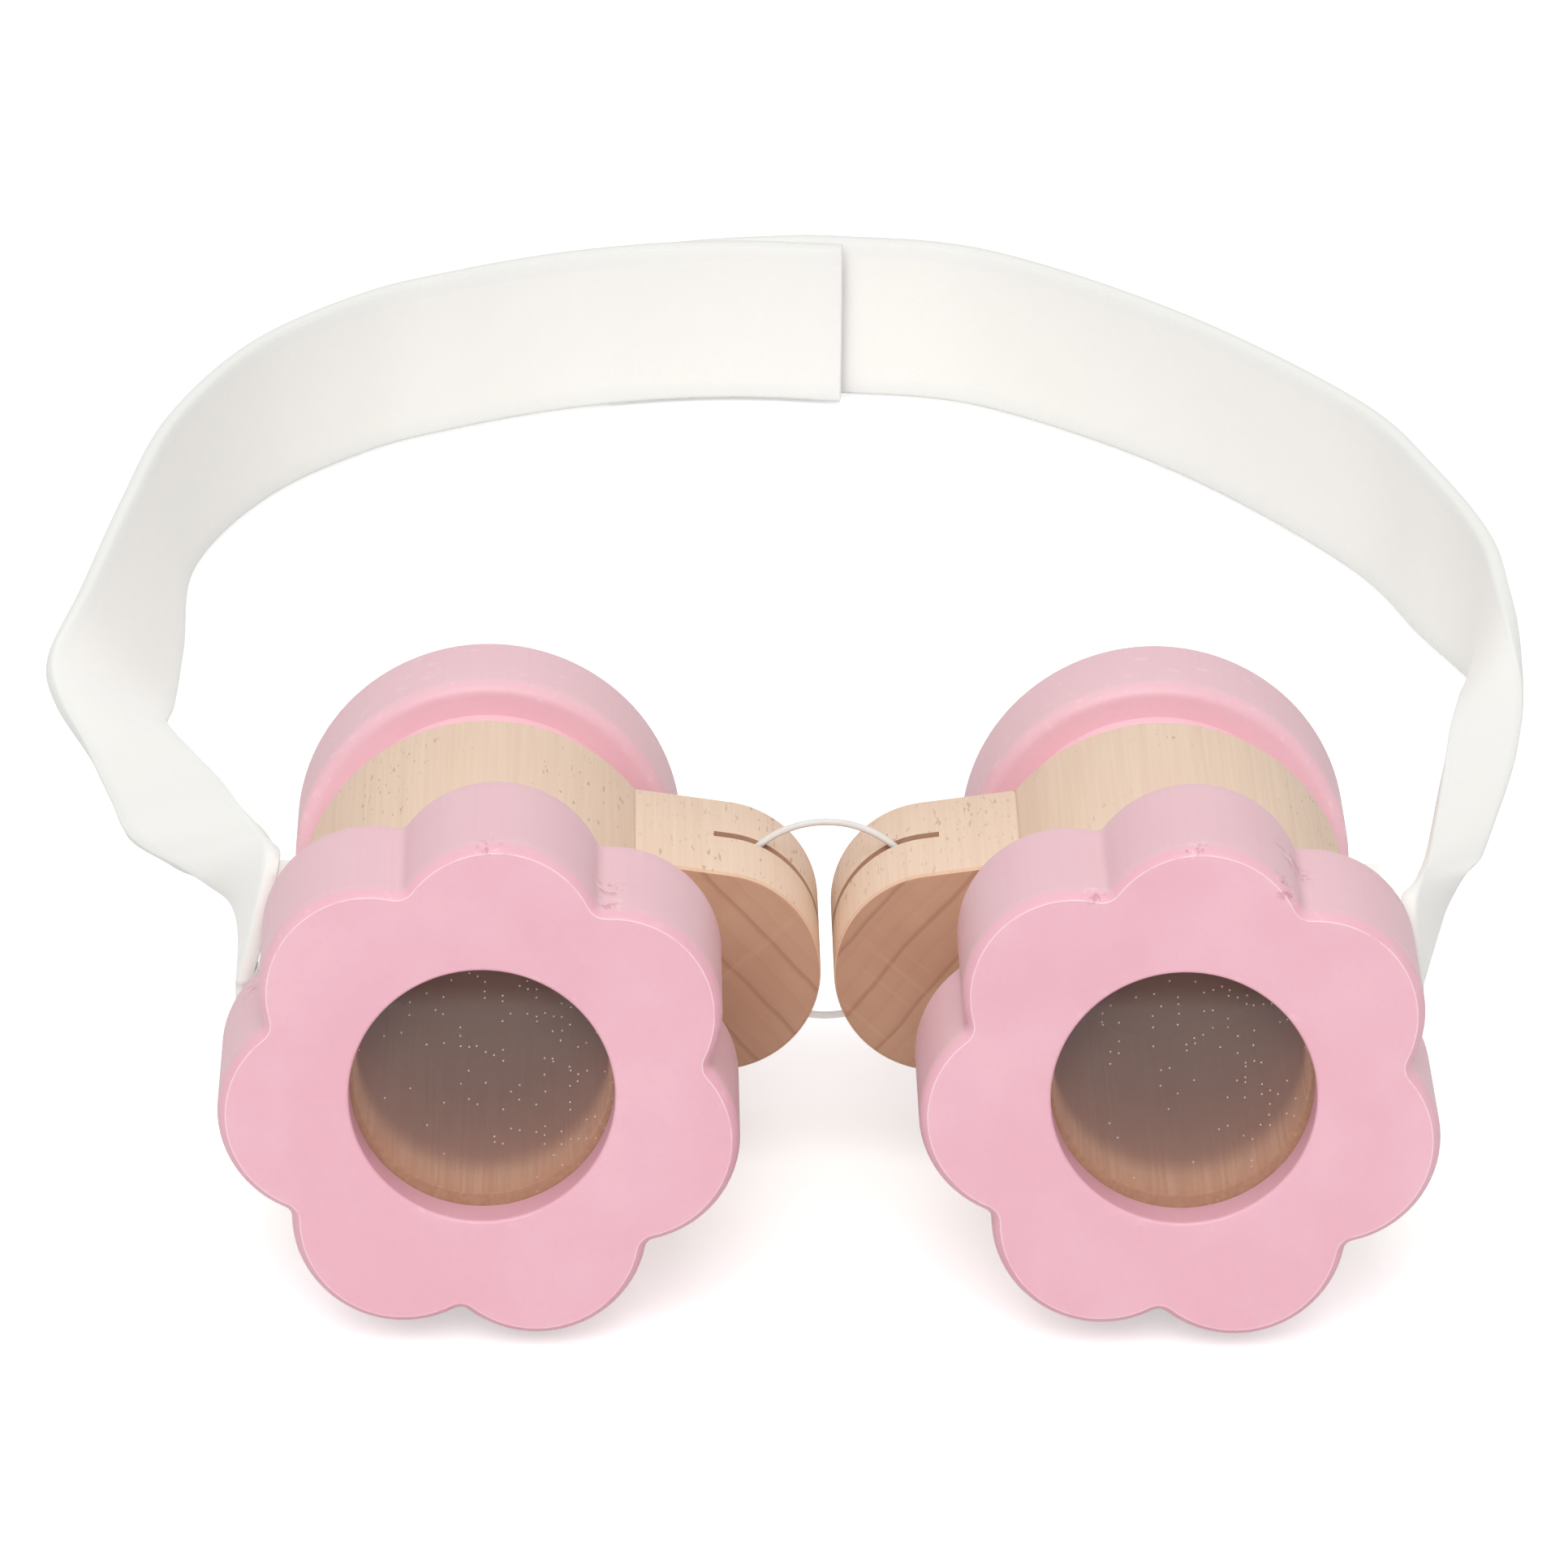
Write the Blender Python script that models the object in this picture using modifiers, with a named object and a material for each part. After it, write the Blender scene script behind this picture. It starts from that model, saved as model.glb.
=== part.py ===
"""Wooden toy binoculars: two beech barrels with flower fronts, tied by a cord ring, with a neck strap.

Metres, +Z up. The toy lies on a table: the flowers point to -Y and the strap lies behind it on its edge.
Each barrel is modelled along its own Z, from the flower's face back to the eyepiece, with X to the right
and Y down as seen from the front.
"""
import math

import bmesh
import bpy
from mathutils import Matrix, Vector

# Fits
GAP = 0.0003                    # clearance between pieces that touch
ROUND_STEPS = 48                # facets of a large turned piece
SMALL_STEPS = 24                # facets of a pin, screw or washer

# Flower ring
PETALS = 7
PETAL_REACH = 0.0273            # axis to the tip of a petal
NOTCH_REACH = 0.0234            # axis to the bottom of a notch
NOTCH_RADIUS = 0.0012           # cutter's radius in a notch
NOTCH_TURN = math.radians(7.8)  # angle of the first notch above the X axis
PETAL_STEPS = 9
NOTCH_STEPS = 3
FLOWER_DEPTH = 0.0209
FLOWER_FRONT_ROUND = 0.0013
FLOWER_BACK_ROUND = 0.0009
SIGHT_RADIUS = 0.01365          # hole in the flower's face
SIGHT_DEPTH = 0.0045            # from the face back to the lens
SIGHT_ROUND = 0.0006

# Lenses
LENS_RADIUS = 0.0150
LENS_THICKNESS = 0.0018
LENS_EDGE = 0.0002

# Barrel
BARREL_RADIUS = 0.0199
BARREL_END = 0.0622             # flower's face to the barrel's back face
BARREL_ROUND = 0.0006
BORE_RADIUS = 0.0124
EYE_SOCKET_DEPTH = 0.0080

# Lobe towards the other barrel
AXIS_SPACING = 0.0720
LOBE_GAP = 0.0014               # between the two lobes' tips
LOBE_FRONT = 0.0380
LOBE_SETBACK = 0.0003           # lobe's back face in front of the barrel's
LOBE_TIP_RADIUS = 0.0110
LOBE_ROOT_HALF_HEIGHT = 0.0124
LOBE_ROUND = 0.0005
LOBE_TIP_STEPS = 18

# Hinge of cord and pins
CORD_RADIUS = 0.00045
CORD_RING_RADIUS = 0.01087
CORD_RING_RISE = 0.0016         # the ring hangs this far above the barrels' axes
CORD_RING_STEPS = 48
KERF_PLANE = 0.0506             # flower's face to the middle of the kerf
KERF_WIDTH = 0.0022
KERF_SPARE = 0.0006             # between the cord ring and the kerf's floor
PIN_RADIUS = 0.00125
PIN_LENGTH = 0.0140
PIN_EDGE = 0.0003

# Eyepiece
EYE_RADIUS = 0.0208
EYE_FRONT = 0.0720              # flower's face to the ring's front face
EYE_END = 0.0872
EYE_FRONT_ROUND = 0.0016
EYE_BACK_ROUND = 0.0024
NECK_RADIUS = 0.0166
EYE_BORE_RADIUS = 0.0065
EYE_CUP_RADIUS = 0.0150         # dished seat for the eye
EYE_CUP_DEPTH = 0.0050

# Strap
TAPE_WIDTH = 0.0200
TAPE_THICKNESS = 0.0018
HEM_DROP = 0.0090               # screw down to a sewn end's turn
HEM_RISE = 0.0105               # screw up to the end of a sewn end's inner layer
ANCHOR = 0.0320                 # flower's face to the strap's screw
STRAP_LIFT = 0.0004             # lower edge above the table
STRAP_REACH = 0.1714            # eyepiece's end to the back of the loop
LEFT_SAG = 0.0268               # how far the left tape comes forward over a barrel side's distance
LEFT_MIDDLE = -0.0070           # where the left tape lies furthest back
LEFT_START = -0.0525            # where the left tape's back stretch begins
RIGHT_SAG = 0.0527
RIGHT_MIDDLE = 0.0070
RIGHT_START = 0.0452
EDGE_FLARE = 0.0034             # how far the right sewn end's outer layer stands off at its back edge
LAP_LEFT = 0.0240               # left of centre, where the right tape ends
LAP_RIGHT = 0.0050              # right of centre, where the left tape ends
PATCH_MARGIN = 0.0020           # closure patch to the tape's edges
PATCH_THICKNESS = 0.0008
TAPE_STEPS = 4                  # rows between two stations of the strap
TAPE_COLUMNS = 4
BACK_STATIONS = 6
LAP_STATIONS = 4
FOLD_STEPS = 6                  # facets of a sewn end's turn

# Screw and washer
SCREW_RADIUS = 0.0015
SCREW_BITE = 0.0062             # length in the wood
SCREW_HEAD_RADIUS = 0.0030
SCREW_HEAD_HEIGHT = 0.0007
WASHER_RADIUS = 0.0045
WASHER_THICKNESS = 0.0004

# The strap's free stretches: upper and lower edge of the tape at each station, as
# (outwards from TURN_SIDE, back from TURN_BACK, height above the table).
TURN_SIDE = 0.0565              # from the middle of the toy
TURN_BACK = 0.0309              # from the flowers' faces
LEFT_TURN = (
    ((0.0085, 0.0120, 0.0325), (0.0051, -0.0060, 0.0400)),
    ((0.0136, 0.0240, 0.0296), (0.0038, 0.0075, 0.0405)),
    ((0.0180, 0.0360, 0.0272), (0.0057, 0.0220, 0.0372)),
    ((0.0205, 0.0582, 0.0212), (0.0087, 0.0448, 0.0303)),
    ((0.0240, 0.0795, 0.0178), (0.0124, 0.0655, 0.0245)),
    ((0.0285, 0.0995, 0.0160), (0.0157, 0.0895, 0.0165)),
    ((0.0295, 0.1105, 0.0168), (0.0165, 0.1105, 0.0084)),
    ((0.0262, 0.1235, 0.0192), (0.0167, 0.1295, 0.0026)),
    ((0.0222, 0.1480, 0.0203), (0.0165, 0.1490, 0.0008)),
    ((0.0176, 0.1730, 0.0204), (0.0160, 0.1740, 0.0006)),
    ((0.0086, 0.1960, 0.0204), (0.0080, 0.1965, 0.0004)),
)
RIGHT_TURN = (
    ((0.0096, 0.0100, 0.0345), (0.0053, -0.0085, 0.0385)),
    ((0.0125, 0.0206, 0.0315), (0.0061, 0.0030, 0.0387)),
    ((0.0161, 0.0414, 0.0280), (0.0079, 0.0245, 0.0334)),
    ((0.0197, 0.0647, 0.0250), (0.0108, 0.0515, 0.0288)),
    ((0.0220, 0.0875, 0.0220), (0.0131, 0.0735, 0.0240)),
    ((0.0225, 0.1075, 0.0208), (0.0161, 0.0975, 0.0170)),
    ((0.0221, 0.1225, 0.0203), (0.0187, 0.1205, 0.0090)),
    ((0.0208, 0.1365, 0.0203), (0.0205, 0.1415, 0.0015)),
    ((0.0158, 0.1560, 0.0204), (0.0155, 0.1575, 0.0006)),
    ((0.0080, 0.1780, 0.0204), (0.0080, 0.1785, 0.0004)),
)

# Worked out from the sizes above
LENS_FRONT = SIGHT_DEPTH + GAP
TENON_FRONT = LENS_FRONT + LENS_THICKNESS + GAP
SOCKET_RADIUS = LENS_RADIUS + GAP
SHOULDER = FLOWER_DEPTH + GAP
EYE_SOCKET_FLOOR = BARREL_END - EYE_SOCKET_DEPTH
EYE_LENS_FRONT = EYE_SOCKET_FLOOR + GAP
SPIGOT_FRONT = EYE_LENS_FRONT + LENS_THICKNESS + GAP
LOBE_REACH = (AXIS_SPACING - LOBE_GAP) / 2
LOBE_BACK = BARREL_END - LOBE_SETBACK
KERF_FLOOR = AXIS_SPACING / 2 - CORD_RING_RADIUS - CORD_RADIUS - KERF_SPARE
PIN_SWING = CORD_RING_RADIUS - CORD_RADIUS - GAP - PIN_RADIUS
PIN_PLACE = AXIS_SPACING / 2 - math.sqrt(PIN_SWING ** 2 - CORD_RING_RISE ** 2)
PIN_BACK = LOBE_BACK - GAP
PIN_FRONT = PIN_BACK - PIN_LENGTH
HALF_PETAL = math.pi / PETALS
INNER_LAYER = GAP + TAPE_THICKNESS / 2
WASHER_SEAT = INNER_LAYER + TAPE_THICKNESS / 2 + GAP
HEAD_SEAT = WASHER_SEAT + WASHER_THICKNESS + GAP
SCREW_CROWN = HEAD_SEAT + SCREW_HEAD_HEIGHT
OUTER_LAYER = SCREW_CROWN + GAP + TAPE_THICKNESS / 2
BARREL_SIDE = AXIS_SPACING / 2 + BARREL_RADIUS
HOOK_OFFSET = (TAPE_THICKNESS + PATCH_THICKNESS) / 2 + GAP
LOOP_OFFSET = HOOK_OFFSET + PATCH_THICKNESS + GAP
LAP_OFFSET = LOOP_OFFSET + HOOK_OFFSET
THROUGH = 0.0010                # how far a cutter stands out of the piece it cuts
SIDES = {"left": -1, "right": 1}


def petal_arc():
    """Distance from the flower's axis to the centre of a petal's arc, and the arc's radius."""
    notch_part = NOTCH_REACH * math.cos(HALF_PETAL)
    centre = (PETAL_REACH ** 2 - NOTCH_REACH ** 2) / (2 * (PETAL_REACH - notch_part))
    return centre, PETAL_REACH - centre


def petal_turns():
    """Angle of each petal, from the X axis upwards."""
    return [NOTCH_TURN + HALF_PETAL * (2 * i + 1) for i in range(PETALS)]


def rest_pose():
    """Tilt and height of the axes when the toy lies on the backs of its flowers and of its eyepieces."""
    centre, radius = petal_arc()
    lowest = radius - centre * min(math.sin(turn) for turn in petal_turns())
    run = (EYE_END - EYE_BACK_ROUND) - (FLOWER_DEPTH - FLOWER_BACK_ROUND)
    drop = (lowest - FLOWER_BACK_ROUND) - (EYE_RADIUS - EYE_BACK_ROUND)
    slack = math.asin((FLOWER_BACK_ROUND - EYE_BACK_ROUND) / math.hypot(run, drop))
    tilt = slack + math.atan2(drop, run)
    height = (EYE_END - EYE_BACK_ROUND) * math.sin(tilt)
    height += (EYE_RADIUS - EYE_BACK_ROUND) * math.cos(tilt) + EYE_BACK_ROUND
    return tilt, height


REST_TILT, REST_HEIGHT = rest_pose()
ANCHOR_Y = ANCHOR * math.cos(REST_TILT)
ANCHOR_Z = REST_HEIGHT - ANCHOR * math.sin(REST_TILT)
BACK_Y = EYE_END * math.cos(REST_TILT) + STRAP_REACH


def material(name, color, roughness, metallic=0.0, transmission=0.0):
    made = bpy.data.materials.new(name)
    made.use_nodes = True
    shader = made.node_tree.nodes["Principled BSDF"]
    shader.inputs["Base Color"].default_value = (*color, 1.0)
    shader.inputs["Roughness"].default_value = roughness
    shader.inputs["Metallic"].default_value = metallic
    shader.inputs["Transmission Weight"].default_value = transmission
    made.diffuse_color = (*color, 1.0)
    return made


def empty(name, parent=None, location=(0.0, 0.0, 0.0), rotation=(0.0, 0.0, 0.0)):
    made = bpy.data.objects.new(name, None)
    made.empty_display_size = 0.01
    made.location = location
    made.rotation_euler = rotation
    made.parent = parent
    PARTS.objects.link(made)
    return made


def add_object(name, data, look=None, parent=None):
    """A part if it has a look, or else a cutter."""
    made = bpy.data.objects.new(name, data)
    made.parent = parent
    if look:
        data.materials.append(look)
        PARTS.objects.link(made)
    else:
        made.hide_render = True
        made.display_type = "WIRE"
        CUTTERS.objects.link(made)
    return made


def mesh_from(bm, name, smooth=False):
    bmesh.ops.recalc_face_normals(bm, faces=bm.faces[:])
    for face in bm.faces:
        face.smooth = smooth
    mesh = bpy.data.meshes.new(name)
    bm.to_mesh(mesh)
    bm.free()
    return mesh


def boolean(obj, operation, other):
    modifier = obj.modifiers.new(other.name, "BOOLEAN")
    modifier.operation = operation
    modifier.object = other
    modifier.solver = "EXACT"


def bevel(obj, width, segments, by_weight=False):
    modifier = obj.modifiers.new("edge", "BEVEL")
    modifier.width = width
    modifier.segments = segments
    modifier.use_clamp_overlap = False
    modifier.limit_method = "WEIGHT" if by_weight else "ANGLE"
    modifier.angle_limit = math.radians(60)


def rounded(corners, steps=3):
    """The (x, y) points of an outline whose corners are (x, y) or (x, y, radius)."""
    points = []
    for i, corner in enumerate(corners):
        here = Vector(corner[:2])
        if len(corner) == 2:
            points.append(here)
            continue
        before = (Vector(corners[i - 1][:2]) - here).normalized()
        after = (Vector(corners[(i + 1) % len(corners)][:2]) - here).normalized()
        half = before.angle(after) / 2
        centre = here + (before + after).normalized() * (corner[2] / math.sin(half))
        start = here + before * (corner[2] / math.tan(half)) - centre
        end = here + after * (corner[2] / math.tan(half)) - centre
        sweep = start.angle_signed(end)
        for step in range(steps + 1):
            points.append(centre + Matrix.Rotation(-sweep * step / steps, 2) @ start)
    return points


def turned(name, corners, look=None, parent=None, steps=ROUND_STEPS, closed=False):
    """A lathe-turned piece: its profile runs from high to low Z on the outer side."""
    bm = bmesh.new()
    verts = [bm.verts.new((point.x, 0.0, point.y)) for point in rounded(corners)]
    for first, second in zip(verts, verts[1:]):
        bm.edges.new((first, second))
    if closed:
        bm.edges.new((verts[-1], verts[0]))
    mesh = bpy.data.meshes.new(name)
    bm.to_mesh(mesh)
    bm.free()
    made = add_object(name, mesh, look, parent)
    screw = made.modifiers.new("turn", "SCREW")
    screw.steps = steps
    screw.render_steps = steps
    screw.use_merge_vertices = True
    screw.merge_threshold = 0.00002
    screw.use_smooth_shade = True
    return made


def disc(name, radius, low, high, look=None, parent=None, steps=SMALL_STEPS, edge=0.0):
    """A round disc or pin from low to high along Z."""
    bm = bmesh.new()
    bmesh.ops.create_cone(
        bm, cap_ends=True, segments=steps, radius1=radius, radius2=radius, depth=high - low,
        matrix=Matrix.Translation((0.0, 0.0, (low + high) / 2)),
    )
    made = add_object(name, mesh_from(bm, name, smooth=bool(look)), look, parent)
    if edge:
        bevel(made, edge, 1)
    return made


def box(name, low, high):
    low = Vector(low)
    high = Vector(high)
    bm = bmesh.new()
    place = Matrix.Translation((low + high) / 2) @ Matrix.Diagonal((*(high - low), 1.0))
    bmesh.ops.create_cube(bm, size=1.0, matrix=place)
    return add_object(name, mesh_from(bm, name))


def prism(name, outline, low, high, low_weight, high_weight, look=None, parent=None):
    """An outline drawn out along Z. The weights are the bevel shares of its two rims."""
    bm = bmesh.new()
    face = bm.faces.new([bm.verts.new((x, y, low)) for x, y in outline])
    pulled = bmesh.ops.extrude_face_region(bm, geom=[face])["geom"]
    top = [item for item in pulled if isinstance(item, bmesh.types.BMVert)]
    bmesh.ops.translate(bm, verts=top, vec=(0.0, 0.0, high - low))
    weight = bm.edges.layers.float.new("bevel_weight_edge")
    middle = (low + high) / 2
    for edge in bm.edges:
        heights = [vert.co.z for vert in edge.verts]
        if max(heights) < middle:
            edge[weight] = low_weight
        elif min(heights) > middle:
            edge[weight] = high_weight
    return add_object(name, mesh_from(bm, name), look, parent)


def flower_outline():
    """Petal arcs joined by small hollow fillets, with Y down."""
    centre, radius = petal_arc()
    along = centre * math.cos(HALF_PETAL)
    across = centre * math.sin(HALF_PETAL)
    fillet = along + math.sqrt((radius + NOTCH_RADIUS) ** 2 - across ** 2)
    lean = math.atan2(fillet * math.sin(HALF_PETAL), fillet * math.cos(HALF_PETAL) - centre)
    points = []
    for turn in petal_turns():
        for step in range(PETAL_STEPS + 1):
            angle = turn + lean * (2 * step / PETAL_STEPS - 1)
            x = centre * math.cos(turn) + radius * math.cos(angle)
            y = centre * math.sin(turn) + radius * math.sin(angle)
            points.append((x, -y))
        notch = turn + HALF_PETAL
        for step in range(1, NOTCH_STEPS):
            angle = notch + math.pi + (lean - HALF_PETAL) * (1 - 2 * step / NOTCH_STEPS)
            x = fillet * math.cos(notch) + NOTCH_RADIUS * math.cos(angle)
            y = fillet * math.sin(notch) + NOTCH_RADIUS * math.sin(angle)
            points.append((x, -y))
    return points


def lobe_outline(inward):
    """Round end towards the other barrel, with straight sides that run into the barrel's wall."""
    tip = LOBE_REACH - LOBE_TIP_RADIUS
    root = Vector((BORE_RADIUS, LOBE_ROOT_HALF_HEIGHT))
    away = root - Vector((tip, 0.0))
    start = math.atan2(away.y, away.x) - math.acos(LOBE_TIP_RADIUS / away.length)
    points = [(inward * root.x, root.y)]
    for step in range(LOBE_TIP_STEPS + 1):
        angle = start * (1 - 2 * step / LOBE_TIP_STEPS)
        x = tip + LOBE_TIP_RADIUS * math.cos(angle)
        points.append((inward * x, LOBE_TIP_RADIUS * math.sin(angle)))
    points.append((inward * root.x, -root.y))
    return points


def build_flower(side, axis):
    ring = prism(
        f"{side}_flower_ring", flower_outline(), 0.0, FLOWER_DEPTH,
        1.0, FLOWER_BACK_ROUND / FLOWER_FRONT_ROUND, PINK, axis,
    )
    bevel(ring, FLOWER_FRONT_ROUND, 3, by_weight=True)
    flare = SIGHT_RADIUS + SIGHT_ROUND + THROUGH
    bore = turned(f"{side}_flower_bore", [
        (0.0, FLOWER_DEPTH + THROUGH), (SOCKET_RADIUS, FLOWER_DEPTH + THROUGH),
        (SOCKET_RADIUS, SIGHT_DEPTH), (SIGHT_RADIUS, SIGHT_DEPTH),
        (SIGHT_RADIUS, SIGHT_ROUND), (flare, -THROUGH), (0.0, -THROUGH),
    ])
    bore.parent = axis
    boolean(ring, "DIFFERENCE", bore)


def build_barrel(side, axis):
    outward = SIDES[side]
    inward = -outward
    tube = turned(f"{side}_barrel", [
        (0.0, BARREL_END), (BARREL_RADIUS, BARREL_END, BARREL_ROUND),
        (BARREL_RADIUS, SHOULDER, BARREL_ROUND), (LENS_RADIUS, SHOULDER),
        (LENS_RADIUS, TENON_FRONT, LENS_EDGE), (0.0, TENON_FRONT),
    ], BEECH, axis)
    lobe = prism(f"{side}_lobe", lobe_outline(inward), LOBE_FRONT, LOBE_BACK, 1.0, 1.0)
    bevel(lobe, LOBE_ROUND, 2, by_weight=True)
    boolean(tube, "UNION", lobe)
    bore = turned(f"{side}_barrel_bore", [
        (0.0, BARREL_END + THROUGH), (SOCKET_RADIUS, BARREL_END + THROUGH),
        (SOCKET_RADIUS, EYE_SOCKET_FLOOR), (BORE_RADIUS, EYE_SOCKET_FLOOR),
        (BORE_RADIUS, TENON_FRONT - THROUGH), (0.0, TENON_FRONT - THROUGH),
    ])
    kerf_ends = sorted((inward * KERF_FLOOR, inward * (LOBE_REACH + THROUGH)))
    kerf = box(
        f"{side}_kerf",
        (kerf_ends[0], -2 * LOBE_TIP_RADIUS, KERF_PLANE - KERF_WIDTH / 2),
        (kerf_ends[1], 2 * LOBE_TIP_RADIUS, KERF_PLANE + KERF_WIDTH / 2),
    )
    hole = disc(f"{side}_pin_hole", PIN_RADIUS + GAP, PIN_FRONT - GAP, LOBE_BACK + THROUGH)
    hole.location.x = inward * PIN_PLACE
    pilot = disc(f"{side}_screw_pilot", SCREW_RADIUS + GAP, -SCREW_BITE - GAP, THROUGH)
    point_outwards(pilot, outward)
    for cutter in (lobe, bore, kerf, hole, pilot):
        cutter.parent = axis
        if cutter != lobe:
            boolean(tube, "DIFFERENCE", cutter)
    pin = disc(
        f"{side}_hinge_pin", PIN_RADIUS, PIN_FRONT, PIN_BACK, DOWEL, axis, edge=PIN_EDGE,
    )
    pin.location.x = inward * PIN_PLACE


def point_outwards(obj, outward):
    """Turns a piece made along Z to stand out of the barrel's side at the strap's screw."""
    obj.location = (outward * BARREL_RADIUS, 0.0, ANCHOR)
    obj.rotation_euler = (0.0, outward * math.pi / 2, 0.0)


def build_eyepiece(side, axis):
    dish = EYE_END - EYE_CUP_DEPTH
    turned(f"{side}_eyepiece_ring", [
        (EYE_CUP_RADIUS, EYE_END, EYE_FRONT_ROUND / 2), (EYE_RADIUS, EYE_END, EYE_BACK_ROUND),
        (EYE_RADIUS, EYE_FRONT, EYE_FRONT_ROUND), (NECK_RADIUS, EYE_FRONT),
        (NECK_RADIUS, BARREL_END + GAP), (LENS_RADIUS, BARREL_END + GAP),
        (LENS_RADIUS, SPIGOT_FRONT, LENS_EDGE), (EYE_BORE_RADIUS, SPIGOT_FRONT),
        (EYE_BORE_RADIUS, dish, EYE_FRONT_ROUND),
    ], PINK, axis, closed=True)


def build_screw(side, axis):
    outward = SIDES[side]
    screw = turned(f"{side}_strap_screw", [
        (0.0, SCREW_CROWN), (SCREW_HEAD_RADIUS, SCREW_CROWN, SCREW_HEAD_HEIGHT / 2),
        (SCREW_HEAD_RADIUS, HEAD_SEAT), (SCREW_RADIUS, HEAD_SEAT),
        (SCREW_RADIUS, 2 * SCREW_RADIUS - SCREW_BITE), (0.0, -SCREW_BITE),
    ], STEEL, axis, SMALL_STEPS)
    washer = turned(f"{side}_strap_washer", [
        (WASHER_RADIUS, WASHER_SEAT + WASHER_THICKNESS), (WASHER_RADIUS, WASHER_SEAT),
        (SCREW_RADIUS + GAP, WASHER_SEAT), (SCREW_RADIUS + GAP, WASHER_SEAT + WASHER_THICKNESS),
    ], STEEL, axis, SMALL_STEPS, closed=True)
    point_outwards(screw, outward)
    point_outwards(washer, outward)


def build_side(side, axis):
    build_flower(side, axis)
    build_barrel(side, axis)
    build_eyepiece(side, axis)
    build_screw(side, axis)
    for name, front in (("objective_lens", LENS_FRONT), ("eyepiece_lens", EYE_LENS_FRONT)):
        disc(
            f"{side}_{name}", LENS_RADIUS, front, front + LENS_THICKNESS, CLEAR, axis,
            ROUND_STEPS, LENS_EDGE,
        )


def build_cord(axis):
    curve = bpy.data.curves.new("hinge_cord", "CURVE")
    curve.dimensions = "3D"
    curve.bevel_depth = CORD_RADIUS
    curve.bevel_resolution = 2
    spline = curve.splines.new("POLY")
    spline.points.add(CORD_RING_STEPS - 1)
    for i, point in enumerate(spline.points):
        turn = 2 * math.pi * i / CORD_RING_STEPS
        x = CORD_RING_RADIUS * math.cos(turn)
        y = CORD_RING_RADIUS * math.sin(turn) - CORD_RING_RISE
        point.co = (x, y, 0.0, 1.0)
    spline.use_cyclic_u = True
    spline.use_smooth = True
    add_object("hinge_cord", curve, CORD, axis)


def spline_rows(stations):
    """Rows through every station, smoothly joined."""
    rows = []
    last = len(stations) - 1
    for i in range(last):
        a, b, c, d = (stations[min(max(i + k, 0), last)] for k in (-1, 0, 1, 2))
        for step in range(TAPE_STEPS):
            t = step / TAPE_STEPS
            row = []
            for p, q, r, s in zip(a, b, c, d):
                bend = (2 * p - 5 * q + 4 * r - s) * t * t + (3 * q - p - 3 * r + s) * t ** 3
                row.append((2 * q + (r - p) * t + bend) / 2)
            rows.append(row)
    rows.append(stations[-1])
    return rows


def band_row(outward, off, height, flare):
    """The two edges of a sewn end at one height, the back edge first."""
    x = outward * (BARREL_SIDE + off)
    back = Vector((x + outward * flare, ANCHOR_Y + TAPE_WIDTH / 2, height))
    front = Vector((x, ANCHOR_Y - TAPE_WIDTH / 2, height))
    return [back, front]


def hem_rows(outward, flare):
    """The doubled end: down the inner layer, round the turn and up the outer layer over the screw."""
    radius = (OUTER_LAYER - INNER_LAYER) / 2
    middle = INNER_LAYER + radius
    low = ANCHOR_Z - HEM_DROP + radius
    high = ANCHOR_Z + HEM_RISE
    rows = [band_row(outward, INNER_LAYER, height, 0.0) for height in (high, ANCHOR_Z)]
    for step in range(FOLD_STEPS + 1):
        turn = math.pi * step / FOLD_STEPS
        off = middle - radius * math.cos(turn)
        rows.append(band_row(outward, off, low - radius * math.sin(turn), 0.0))
    rows.append(band_row(outward, OUTER_LAYER, ANCHOR_Z, flare / 2))
    return rows


def turn_stations(outward, turn):
    """The free stretch's stations in table coordinates."""
    stations = []
    for edges in turn:
        row = []
        for off, back, height in edges:
            row.append(Vector((outward * (TURN_SIDE + off), TURN_BACK + back, height)))
        stations.append(row)
    return stations


def back_row(x, sag, middle, behind):
    """The tape's upper and lower edge where it stands at the back of the loop."""
    y = BACK_Y - sag * ((x - middle) / BARREL_SIDE) ** 2 + behind
    return [Vector((x, y, STRAP_LIFT + TAPE_WIDTH)), Vector((x, y, STRAP_LIFT))]


def spaced(first, last, count):
    return [first + (last - first) * i / (count - 1) for i in range(count)]


def ribbon(name, rows, columns, thickness, look, axis, flare_from=None):
    """A tape woven between the two edges of each row. A flare lifts only its outermost column."""
    bm = bmesh.new()
    grid = []
    for i, (first, second) in enumerate(rows):
        line = []
        for j in range(columns + 1):
            point = second.lerp(first, j / columns)
            if flare_from is not None and i < flare_from and j < columns:
                point.x = second.x
            line.append(bm.verts.new(point))
        grid.append(line)
    for line, following in zip(grid, grid[1:]):
        for j in range(columns):
            bm.faces.new((line[j], line[j + 1], following[j + 1], following[j]))
    made = add_object(name, mesh_from(bm, name, smooth=True), look, axis)
    made.matrix_parent_inverse = axis.matrix_world.inverted()
    solid = made.modifiers.new("cloth", "SOLIDIFY")
    solid.thickness = thickness
    solid.offset = 0.0
    return made


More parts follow.
